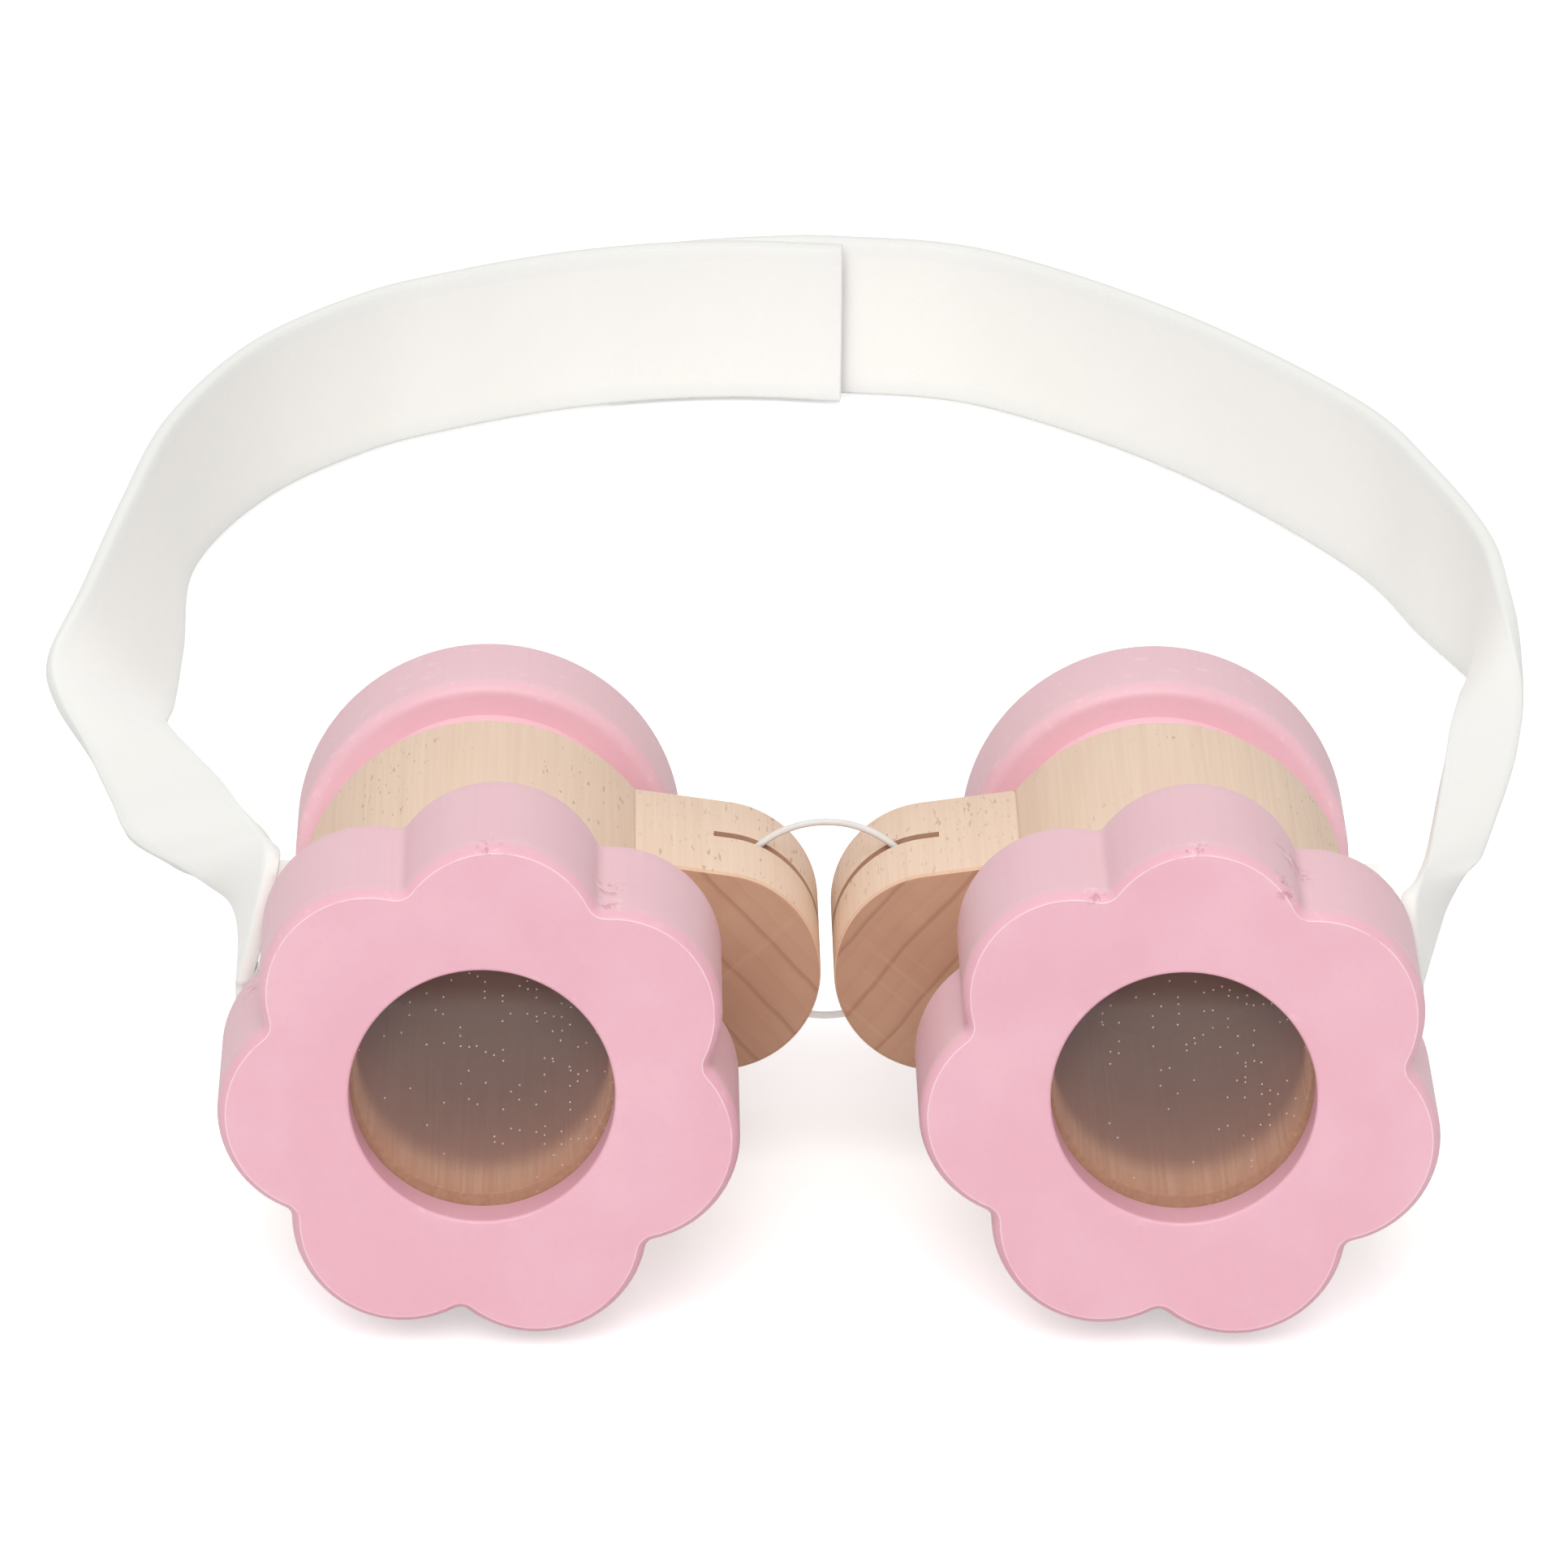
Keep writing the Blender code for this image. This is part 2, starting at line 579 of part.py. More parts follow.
def build_tape(side, turn, back, axis):
    """One half of the strap: sewn end at the barrel, free stretch and its share of the back."""
    outward = SIDES[side]
    flare = EDGE_FLARE if side == "right" else 0.0
    hem = hem_rows(outward, flare)
    top = band_row(outward, OUTER_LAYER, ANCHOR_Z + HEM_RISE / 2, flare)
    rows = hem + spline_rows([top] + turn_stations(outward, turn) + back)
    tape = ribbon(
        f"strap_{side}_tape", rows, TAPE_COLUMNS, TAPE_THICKNESS, TAPE, axis, len(hem) + 1,
    )
    hole = disc(f"{side}_tape_hole", SCREW_RADIUS + GAP, -THROUGH, WASHER_SEAT)
    hole.parent = axis
    point_outwards(hole, outward)
    boolean(tape, "DIFFERENCE", hole)


def build_strap(left_axis, right_axis):
    left_back = []
    for x in spaced(LEFT_START, LAP_RIGHT, BACK_STATIONS):
        left_back.append(back_row(x, LEFT_SAG, LEFT_MIDDLE, 0.0))
    build_tape("left", LEFT_TURN, left_back, left_axis)
    right_back = []
    for x in (RIGHT_START, RIGHT_START / 2):
        right_back.append(back_row(x, RIGHT_SAG, RIGHT_MIDDLE, LAP_OFFSET))
    for x in spaced(LAP_RIGHT, -LAP_LEFT, LAP_STATIONS):
        right_back.append(back_row(x, LEFT_SAG, LEFT_MIDDLE, LAP_OFFSET))
    build_tape("right", RIGHT_TURN, right_back, right_axis)
    across = spaced(PATCH_MARGIN - LAP_LEFT, LAP_RIGHT - PATCH_MARGIN, 9)
    patches = (("closure_hook_patch", HOOK_OFFSET, left_axis), ("closure_loop_patch", LOOP_OFFSET, right_axis))
    for name, offset, axis in patches:
        rows = []
        for x in across:
            top, bottom = back_row(x, LEFT_SAG, LEFT_MIDDLE, offset)
            rows.append([top - Vector((0.0, 0.0, PATCH_MARGIN)), bottom + Vector((0.0, 0.0, PATCH_MARGIN))])
        ribbon(name, rows, 1, PATCH_THICKNESS, PATCH, axis)


def stand_at_origin(root):
    """Moves the whole toy so that the origin is at the bottom centre of its box."""
    bpy.context.view_layer.update()
    graph = bpy.context.evaluated_depsgraph_get()
    corners = []
    for obj in PARTS.objects:
        if obj.type == "EMPTY":
            continue
        shown = obj.evaluated_get(graph)
        mesh = shown.to_mesh()
        corners.extend(shown.matrix_world @ vert.co for vert in mesh.vertices)
        shown.to_mesh_clear()
    low = [min(corner[i] for corner in corners) for i in range(3)]
    high = [max(corner[i] for corner in corners) for i in range(3)]
    root.location = (-(low[0] + high[0]) / 2, -(low[1] + high[1]) / 2, -low[2])
    bpy.context.view_layer.update()


for old in list(bpy.data.objects):
    bpy.data.objects.remove(old)
PARTS = bpy.data.collections.new("toy_binoculars")
CUTTERS = bpy.data.collections.new("cutters")
CUTTERS.hide_render = True
bpy.context.scene.collection.children.link(PARTS)
bpy.context.scene.collection.children.link(CUTTERS)

BEECH = material("beech", (0.80, 0.64, 0.49), 0.55)
DOWEL = material("dowel", (0.74, 0.57, 0.41), 0.60)
PINK = material("pink paint", (0.88, 0.50, 0.57), 0.45)
CLEAR = material("clear plastic", (0.95, 0.96, 0.97), 0.05, transmission=1.0)
CORD = material("white cord", (0.90, 0.89, 0.86), 0.70)
TAPE = material("cotton tape", (0.93, 0.92, 0.88), 0.85)
PATCH = material("hook and loop", (0.86, 0.85, 0.82), 0.95)
STEEL = material("plated steel", (0.62, 0.62, 0.63), 0.30, metallic=1.0)

ROOT = empty("binoculars")
REST = empty("toy_rest", ROOT, (0.0, 0.0, REST_HEIGHT), (-math.pi / 2 - REST_TILT, 0.0, 0.0))
LEFT_AXIS = empty("left_axis", REST, (-AXIS_SPACING / 2, 0.0, 0.0))
FOLD_AXIS = empty("fold_axis", REST, (0.0, 0.0, KERF_PLANE))
RIGHT_AXIS = empty("right_axis", FOLD_AXIS, (AXIS_SPACING / 2, 0.0, -KERF_PLANE))
bpy.context.view_layer.update()

build_side("left", LEFT_AXIS)
build_side("right", RIGHT_AXIS)
build_cord(FOLD_AXIS)
build_strap(LEFT_AXIS, RIGHT_AXIS)
stand_at_origin(ROOT)
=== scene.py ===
import math

import bmesh
import bpy
from mathutils import Matrix, Vector


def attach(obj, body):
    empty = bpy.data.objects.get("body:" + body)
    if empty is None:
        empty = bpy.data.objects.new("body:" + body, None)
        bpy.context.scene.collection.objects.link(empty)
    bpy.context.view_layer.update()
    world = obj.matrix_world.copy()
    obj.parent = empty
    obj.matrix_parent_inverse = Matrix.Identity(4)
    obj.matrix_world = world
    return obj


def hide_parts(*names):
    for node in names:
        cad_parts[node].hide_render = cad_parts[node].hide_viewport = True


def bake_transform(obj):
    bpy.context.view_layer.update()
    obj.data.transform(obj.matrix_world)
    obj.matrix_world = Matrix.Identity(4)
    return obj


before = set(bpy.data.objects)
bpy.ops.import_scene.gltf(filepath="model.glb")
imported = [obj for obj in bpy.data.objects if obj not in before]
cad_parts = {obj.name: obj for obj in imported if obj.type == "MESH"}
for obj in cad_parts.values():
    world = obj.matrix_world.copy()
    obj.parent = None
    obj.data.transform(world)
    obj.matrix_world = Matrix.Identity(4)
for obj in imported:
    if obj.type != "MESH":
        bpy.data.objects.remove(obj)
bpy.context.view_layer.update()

# Where the toy lies: its axes dip towards the back, and u runs back from the flowers' faces.
TILT = 0.0842495
ORIGIN = Vector((0.003416, -0.130695, 0.027866))
TOY = Matrix.Translation(ORIGIN) @ Matrix.Rotation(-TILT, 4, "X")
AXIS_X = {"left": -0.036, "right": 0.036}
OUTWARD = {"left": -1.0, "right": 1.0}
BODY = {"left": "left_half", "right": "right_half"}
SEED = {"left": 1.0, "right": 2.0}
GRAIN_LEAN = {"left": math.radians(43.0), "right": math.radians(-40.0)}

# Flower ring
PETALS = 7
PETAL_CENTRE = 0.0159
PETAL_RADIUS = 0.0114
NOTCH_RADIUS = 0.0012
NOTCH_TURN = math.radians(7.8)
FLOWER_DEPTH = 0.0209
FRONT_ARC = 0.0024  # radius of the front edge's arc
FRONT_SWEEP = math.radians(50.0)
FACE_MARGIN = 0.0016  # flat border of the front face, at the hole and at the petals
FACE_LIP = 0.0001
SIDE_MARGIN = 0.0020  # straight border of the petals' sides, in front and behind
BACK_ROUND = 0.0009
SIGHT_RADIUS = 0.01365
SIGHT_DEPTH = 0.0045
SIGHT_ROUND = 0.0004
SOCKET_RADIUS = 0.0153

# Barrel and lobe
BARREL_RADIUS = 0.0199
BARREL_FRONT = 0.0212
BARREL_END = 0.0622
BARREL_ROUND = 0.0006
TENON_FRONT = 0.0069
TENON_EDGE = 0.0004
SOCKET_LENGTH = 0.0080
BORE_RADIUS = 0.0131
BORE_EDGE_WIDTH = 0.0002
BORE_EDGE_DEPTH = 0.0003
LOBE_ROOT = 0.0150  # inside the barrel's wall
LOBE_REACH = 0.0353
LOBE_TIP = 0.0110
LOBE_HALF = 0.0124
LOBE_FRONT = 0.0380
LOBE_BACK = 0.0619
LOBE_ROUND = 0.00035
KERF_PLANE = 0.0506
KERF_WIDTH = 0.0016
KERF_FLOOR = 0.02408
KERF_PAST = 0.0020  # how far the saw cut runs past the lobe's tip
KERF_HEIGHT = 0.05

# Lenses
LENS_RADIUS = 0.0150
LENS_THICKNESS = 0.0018
LENS_EDGE = 0.0002
OBJECTIVE_FRONT = 0.0048
EYE_LENS_FRONT = BARREL_END - 0.0077
DUST_DEPTH = 0.0055  # dust lies in front of this
DUST_SHIFT = 0.31  # moves the dust, so that each side has its own

# Eyepiece ring
EYE_FRONT = 0.0720
EYE_END = 0.0872
EYE_RADIUS = 0.0208
EYE_NECK = 0.0166
EYE_HOLE = 0.0065
EYE_EDGE = 0.0003
EYE_FRONT_ROUND = 0.0016
EYE_BACK_ROUND = 0.0024
NECK_FILLET = 0.0005
SPIGOT_LENGTH = 0.0056
SHOULDER_GAP = 0.0003
DISH_RADIUS = 0.0150
DISH_ROUND = 0.0008
DISH_DEPTH = 0.0046
RING_PALE = 0.45

# Strap screw and washer, measured along the screw from the barrel's side
ANCHOR_U = 0.0320
SCREW_POINT = -0.0062
SHANK_END = -0.0032
SHANK_RADIUS = 0.0015
HEAD_SEAT = 0.0031
HEAD_CROWN = 0.0038
HEAD_RADIUS = 0.0030
HEAD_ROUND = 0.0005
CROWN_RADIUS = 0.0011
CROWN_RISE = 0.00002
CROSS_WIDTH = 0.0007
CROSS_LENGTH = 0.0034
CROSS_DEPTH = 0.0009  # half of it goes into the head
WASHER_LOW = 0.0024
WASHER_HIGH = 0.0028
WASHER_HOLE = 0.0018
WASHER_RADIUS = 0.0045
WASHER_EDGE = 0.0001
WASHER_ROUND = 0.00015

# Cord ring
CORD_RING = 0.01087
CORD_LIFT = 0.0016
CORD_RADIUS = 0.00038
CORD_MIDDLE = 0.0005  # half of the stretch in the ring's middle
CORD_HELD = 0.008  # from here on the ring is held by a lobe

# Stage
FLOOR_SIZE = 4.0
FLOOR_DROP = 0.0002
FLOOR_LIFT = 0.50
TABLE_EDGE = -0.2605  # in front of it, glossy pieces mirror the dim room
PAPER = (0.86, 0.86, 0.86, 1.0)
ROOM = (0.30, 0.29, 0.28, 1.0)
WHITE = (1.0, 1.0, 1.0, 1.0)
SKY_TOP = 0.52
SKY_BACK = 0.48
SKY_LEAST = 0.12
KEY_PLACE = (-0.22, -2.20, 2.40)
KEY_AIM = (0.0, -0.05, 0.02)
KEY_SIZE = 2.2
KEY_POWER = 64.5

# Camera, in the toy's frame
CAMERA_LIFT = math.radians(18.85)
CAMERA_SWING = math.radians(0.84)
CAMERA_ROLL = math.radians(0.46)
CAMERA_DISTANCE = 1.362
CAMERA_TARGET = Vector((-0.0047, 0.040, 0.0203))
FOCAL_PIXELS = 16000.0
PHOTO_PIXELS = 1932.0
SENSOR_WIDTH = 36.0

# Small chips and crackled spots in the flowers' paint, as (x, u, w, reach)
CHIPS = {
    "left": (
        (0.0006, 0.0008, 0.0272, 0.0022),
        (0.0131, 0.0072, 0.0202, 0.0032),
        (0.0131, 0.0025, 0.0202, 0.0024),
        (-0.0238, 0.0169, 0.0059, 0.0026),
    ),
    "right": (
        (0.0006, 0.0006, 0.0272, 0.0020),
        (0.0110, 0.0114, 0.0219, 0.0040),
        (0.0105, 0.0010, 0.0227, 0.0026),
        (-0.0093, 0.0008, 0.0222, 0.0020),
        (0.0230, 0.0200, 0.0147, 0.0024),
    ),
}

# Tape
TAPE_WIDTH = 0.0200
TAPE_THICKNESS = 0.0018
SELVEDGE = 0.0005
SELVEDGE_CORNER = 0.0002
WEFT_PITCH = 0.00085
WARP_PITCH = 0.00062
TWILL = 2400.0  # turns the weave's lines off the tape's length
STITCH_PITCH = 0.0024


def srgb(red, green, blue):
    """Display values from 0 to 255 as a linear colour."""
    def line(value):
        value = value / 255.0
        return value / 12.92 if value <= 0.04045 else ((value + 0.055) / 1.055) ** 2.4
    return (line(red), line(green), line(blue), 1.0)


class Nodes:
    """A short way to write the node tree of a new material or of a world."""

    def __init__(self, name, world=None):
        self.owner = world or bpy.data.materials.new(name)
        self.owner.use_nodes = True
        self.tree = self.owner.node_tree
        self.shader = self.tree.nodes["Background" if world else "Principled BSDF"]

    def add(self, kind, inputs=None, **settings):
        """A new node with these inputs, each a value or a socket, and settings."""
        node = self.tree.nodes.new("ShaderNode" + kind)
        for key, value in settings.items():
            setattr(node, key, value)
        for key, value in (inputs or {}).items():
            self.put(node.inputs[key], value)
        return node

    def put(self, socket, value):
        """Links another socket to this one, or sets its value."""
        if isinstance(value, bpy.types.NodeSocket):
            self.tree.links.new(value, socket)
        else:
            socket.default_value = value

    def set(self, **inputs):
        """Sets the shader's inputs, with _ for the spaces in their names."""
        for key, value in inputs.items():
            self.put(self.shader.inputs[key.replace("_", " ")], value)

    def math(self, operation, a, b=0.0, c=0.0):
        return self.add("Math", {0: a, 1: b, 2: c}, operation=operation).outputs[0]

    def ramp(self, value, low, high, invert=False):
        """Value taken from low..high to 0..1, smoothly."""
        node = self.add("MapRange", {"Value": value, "From Min": low, "From Max": high},
                        interpolation_type="SMOOTHSTEP")
        if invert:
            node.inputs["To Min"].default_value = 1.0
            node.inputs["To Max"].default_value = 0.0
        return node.outputs[0]

    def mix(self, factor, a, b):
        """Colour a at 0 and colour b at 1."""
        node = self.add("Mix", data_type="RGBA", clamp_factor=True)
        self.put(node.inputs["Factor"], factor)
        self.put(node.inputs["A"], a)
        self.put(node.inputs["B"], b)
        return node.outputs["Result"]

    def tint(self, base, mask, strength, colour):
        """The base colour, taken towards another by the mask times the strength."""
        return self.mix(self.math("MULTIPLY", mask, strength), base, colour)

    def noise(self, vector, scale, detail, roughness=0.5, shift=(0.0, 0.0, 0.0)):
        """Noise at the vector, scaled and then shifted."""
        vector = self.mapped(vector, scale, shift)
        inputs = {"Vector": vector, "Scale": 1.0, "Detail": detail, "Roughness": roughness}
        return self.add("TexNoise", inputs).outputs["Fac"]

    def mapped(self, vector, scale, location=(0.0, 0.0, 0.0), rotation=(0.0, 0.0, 0.0)):
        """The vector scaled, turned and then moved."""
        inputs = {"Vector": vector, "Scale": scale, "Location": location, "Rotation": rotation}
        return self.add("Mapping", inputs).outputs[0]

    def millimetres(self, place, shift=(0.0, 0.0, 0.0)):
        """The piece's own coordinates in millimetres."""
        return self.mapped(place.outputs["Object"], (1000.0, 1000.0, 1000.0), shift)

    def axis_distance(self, place):
        """Distance from the piece's own Y axis, in metres."""
        flat = self.mapped(place.outputs["Object"], (1.0, 0.0, 1.0))
        return self.add("VectorMath", {0: flat}, operation="LENGTH").outputs["Value"]

    def split(self, vector):
        """The vector's X, Y and Z."""
        return self.add("SeparateXYZ", {0: vector}).outputs

    def bump(self, height, strength, distance, normal=None):
        node = self.add("Bump", {"Height": height, "Strength": strength, "Distance": distance})
        if normal is not None:
            self.put(node.inputs["Normal"], normal)
        return node.outputs[0]


def beech(name, seed, lean, seam=None):
    """Sanded beech: fine grain and short flecks along the barrel, growth lines and a browner end grain.

    A seam is the distance from the axis to the glue line of a lobe."""
    n = Nodes(name)
    place = n.add("TexCoord")
    spot = n.millimetres(place, (seed * 37.0, seed * 91.0, seed * 53.0))
    where = n.split(place.outputs["Object"])
    along = n.split(place.outputs["Normal"])["Y"]
    end = n.ramp(n.math("ABSOLUTE", along), 0.75, 0.92)
    wander = n.noise(spot, (0.09, 0.004, 0.09), 3.0)
    turned = n.mapped(spot, (1.0, 1.0, 1.0), rotation=(0.0, lean, 0.0))
    across = n.split(turned)["X"]
    ring = n.math("FRACT", n.math("MULTIPLY_ADD", across, 0.20, n.math("MULTIPLY", wander, 0.30)))
    late = n.math("MULTIPLY", n.ramp(ring, 0.84, 0.95), n.ramp(ring, 0.95, 1.0, invert=True))
    fine = n.math("FRACT", n.math("MULTIPLY_ADD", across, 0.47, wander))
    fine_late = n.ramp(fine, 0.55, 0.98)
    strand = n.noise(spot, (2.2, 0.035, 2.2), 4.0, 0.6)
    blotch = n.noise(spot, (0.10, 0.02, 0.10), 2.0)
    side = n.mix(n.ramp(strand, 0.30, 0.75), srgb(233, 205, 181), srgb(239, 213, 189))
    side = n.tint(side, n.ramp(blotch, 0.35, 0.75), 0.30, srgb(234, 201, 174))
    side = n.tint(side, late, 0.12, srgb(208, 174, 146))
    fleck = n.noise(spot, (2.4, 0.42, 2.4), 1.0)
    crowd = n.noise(spot, (0.09, 0.05, 0.09), 1.0, shift=(4.0, 9.0, 2.0))
    fleck = n.ramp(fleck, 0.64 if seam else 0.67, 0.73)
    fleck = n.math("MULTIPLY", fleck, n.ramp(crowd, 0.20 if seam else 0.42, 0.62))
    side = n.tint(side, fleck, 0.50, srgb(172, 130, 100))
    pore = n.noise(spot, (5.0, 5.0, 5.0), 2.0)
    brown = n.mix(n.ramp(blotch, 0.3, 0.7), srgb(189, 148, 122), srgb(197, 158, 131))
    brown = n.tint(brown, pore, 0.24, srgb(168, 120, 94))
    brown = n.tint(brown, fine_late, 0.12, srgb(172, 122, 96))
    brown = n.tint(brown, late, 0.46, srgb(150, 104, 82))
    ray = n.noise(turned, (0.05, 0.0, 0.9), 2.0)
    brown = n.tint(brown, n.ramp(ray, 0.55, 0.75), 0.14, srgb(222, 178, 148))
    if seam:
        off_line = n.math("SUBTRACT", n.math("ABSOLUTE", where["X"]), seam)
        line = n.ramp(n.math("ABSOLUTE", off_line), 0.00010, 0.00028, invert=True)
        side = n.tint(side, line, 0.45, srgb(150, 112, 88))
        rim = n.ramp(where["Y"], LOBE_FRONT + 0.0003, LOBE_FRONT + 0.0009, invert=True)
        side = n.tint(side, rim, 0.45, srgb(222, 172, 128))
    wood = n.mix(end, side, brown)
    bore = n.ramp(n.axis_distance(place), LENS_RADIUS - 0.0004, LENS_RADIUS - 0.0002, invert=True)
    streak = n.ramp(strand, 0.3, 0.75)
    inside = n.mix(streak, srgb(166, 112, 90), srgb(180, 126, 102))
    # Painted light: the bore's wood is lighter near its front, where the lamp reaches in through the sight
    # hole, and darker deeper in.
    painted_light_front = n.ramp(where["Y"], 0.010, 0.019, invert=True)
    inside = n.mix(painted_light_front, inside, n.mix(streak, srgb(234, 182, 142), srgb(250, 206, 166)))
    wood = n.mix(bore, wood, inside)
    n.set(Base_Color=wood, Roughness=0.58, Specular_IOR_Level=0.35)
    height = n.math("ADD", n.math("MULTIPLY", strand, 0.6), n.math("MULTIPLY", fleck, -0.7))
    n.set(Normal=n.bump(height, 0.16, 0.00012))
    return n.owner


def pink_paint(name, seed, pale=0.0, chips=()):
    """Satin pink paint on wood: faint tool lines, specks, a rubbed front edge and small chips, with painted
    light: a sheen on the sides, shade on the front rounding and a highlight along the front edge.

    Each chip is (x, u, w, reach): crackled paint round that spot."""
    n = Nodes(name)
    place = n.add("TexCoord")
    spot = n.millimetres(place, (seed * 61.0, seed * 17.0, seed * 29.0))
    wear = n.add("Attribute", attribute_name="wear").outputs["Fac"]
    edge = n.add("Attribute", attribute_name="edge").outputs["Fac"]
    band = n.add("Attribute", attribute_name="band").outputs["Fac"]
    cloud = n.noise(spot, (0.09, 0.09, 0.09), 3.0)
    coat = n.mix(n.ramp(cloud, 0.30, 0.72), srgb(241, 183, 197), srgb(244, 191, 204))
    if pale:
        coat = n.mix(pale, coat, srgb(246, 206, 213))
    # Painted sheen: the sides away from the axis get a paler lilac tone, standing in for the bright room
    # mirrored at grazing angles.
    facing = n.math("ABSOLUTE", n.split(place.outputs["Normal"])["Y"])
    outer = n.ramp(n.axis_distance(place), 0.0145, 0.0155)
    painted_sheen = n.math("MULTIPLY", n.ramp(facing, 0.25, 0.70, invert=True), outer)
    coat = n.tint(coat, painted_sheen, 0.70, srgb(234, 196, 201))
    lines = n.noise(spot, (1.6, 0.03, 1.6), 3.0)
    coat = n.tint(coat, n.ramp(lines, 0.45, 0.80), 0.10, srgb(228, 160, 180))
    # Painted shade: the front rounding (the band attribute) is darker pink, between the lit front face and
    # the sheen of the sides.
    coat = n.tint(coat, band, 0.14, srgb(226, 152, 166))
    grit = n.noise(spot, (0.55, 0.55, 0.55), 3.0, 0.62)
    rub = n.math("MULTIPLY", wear, n.ramp(grit, 0.60, 0.68))
    coat = n.tint(coat, rub, 0.40, srgb(252, 214, 222))
    # Painted highlight: a near-white line along the front edge (the edge attribute), broken up by the grit.
    coat = n.mix(n.math("MULTIPLY", edge, n.ramp(grit, 0.22, 0.50)), coat, srgb(255, 232, 238))
    crackle = n.noise(spot, (0.9, 0.6, 0.9), 3.0, 0.7, (5.0, 3.0, 1.0))
    chip = n.math("MULTIPLY", wear, 0.0)
    for x, u, w, reach in chips:
        away = n.add("VectorMath", {0: place.outputs["Object"], 1: (x, u, w)}, operation="DISTANCE")
        mask = n.ramp(away.outputs["Value"], reach * 0.35, reach, invert=True)
        chip = n.math("MAXIMUM", chip, mask)
    broken = n.math("MULTIPLY", chip, n.ramp(crackle, 0.54, 0.60))
    shine = n.math("MULTIPLY", chip, n.ramp(crackle, 0.44, 0.38))
    coat = n.tint(coat, broken, 0.55, srgb(198, 134, 146))
    coat = n.tint(coat, shine, 0.45, srgb(255, 220, 228))
    dots = n.add("TexVoronoi", {"Vector": spot, "Scale": 0.20, "Randomness": 1.0}, feature="F1")
    speck = n.ramp(dots.outputs["Distance"], 0.022, 0.040, invert=True)
    pick = n.split(dots.outputs["Color"])["X"]
    speck = n.math("MULTIPLY", speck, n.math("GREATER_THAN", pick, 0.93))
    coat = n.tint(coat, speck, 0.75, srgb(120, 70, 74))
    n.set(Base_Color=coat, Roughness=n.math("MULTIPLY_ADD", grit, 0.16, 0.36), Specular_IOR_Level=0.5)
    peel = n.noise(spot, (0.9, 0.5, 0.9), 3.0, 0.55)
    height = n.math("ADD", n.math("MULTIPLY", peel, 0.5), n.math("MULTIPLY", lines, 0.5))
    n.set(Normal=n.bump(n.math("SUBTRACT", height, n.math("MULTIPLY", broken, 1.2)), 0.18, 0.00012))
    return n.owner


def clear_lens(name, shift):
    """Clear plastic disc with a little dust, most of it in the upper right, and a painted veil."""
    n = Nodes(name)
    place = n.add("TexCoord")
    spot = n.millimetres(place)
    where = n.split(place.outputs["Object"])
    flat = n.add("CombineXYZ", {0: where["X"], 1: where["Z"]}).outputs[0]
    flat = n.mapped(flat, (1.0, 1.0, 1.0), (shift, shift, 0.0))
    dots = n.add("TexVoronoi", {"Vector": flat, "Scale": 1150.0}, voronoi_dimensions="2D")
    speck = n.ramp(dots.outputs["Distance"], 0.06, 0.14, invert=True)
    pick = n.split(dots.outputs["Color"])["X"]
    dusty = n.ramp(n.math("ADD", where["X"], where["Z"]), -0.012, 0.014)
    rare = n.math("MULTIPLY_ADD", dusty, -0.22, 0.975)
    speck = n.math("MULTIPLY", speck, n.math("GREATER_THAN", pick, rare))
    speck = n.math("MULTIPLY", speck, n.math("LESS_THAN", where["Y"], DUST_DEPTH))
    # Painted veil: the disc's brownish colour, seen at a fifth of its strength, lightens and warms the dark
    # view into the barrel, as the reflections on the real disc do.
    mottle = n.noise(spot, (0.10, 0.10, 0.10), 3.0)
    painted_veil = n.mix(mottle, srgb(172, 134, 118), srgb(188, 150, 132))
    n.set(Base_Color=n.mix(speck, painted_veil, srgb(236, 212, 196)))
    n.set(Roughness=n.math("MULTIPLY_ADD", speck, 0.5, 0.03), IOR=2.5)
    n.set(Alpha=n.math("MULTIPLY_ADD", speck, 0.60, 0.20))
    return n.owner


def cord_white(name):
    """Smooth white cord with a faint cloudiness; its lower part glows a little, painted light that lifts
    its shade between the lobes.
    """
    n = Nodes(name)
    place = n.add("TexCoord")
    cloud = n.noise(n.millimetres(place), (0.5, 0.5, 0.5), 3.0)
    n.set(Base_Color=n.mix(cloud, srgb(220, 220, 218), srgb(234, 234, 232)), Roughness=0.5)
    # Painted light: the ring's lower part glows, to lighten its shade between the lobes.
    under = n.ramp(n.split(place.outputs["Object"])["Z"], 0.0176, 0.0256, invert=True)
    n.set(Emission_Color=srgb(236, 238, 238), Emission_Strength=n.math("MULTIPLY", under, 0.32))
    n.set(Normal=n.bump(cloud, 0.1, 0.00005))
    return n.owner


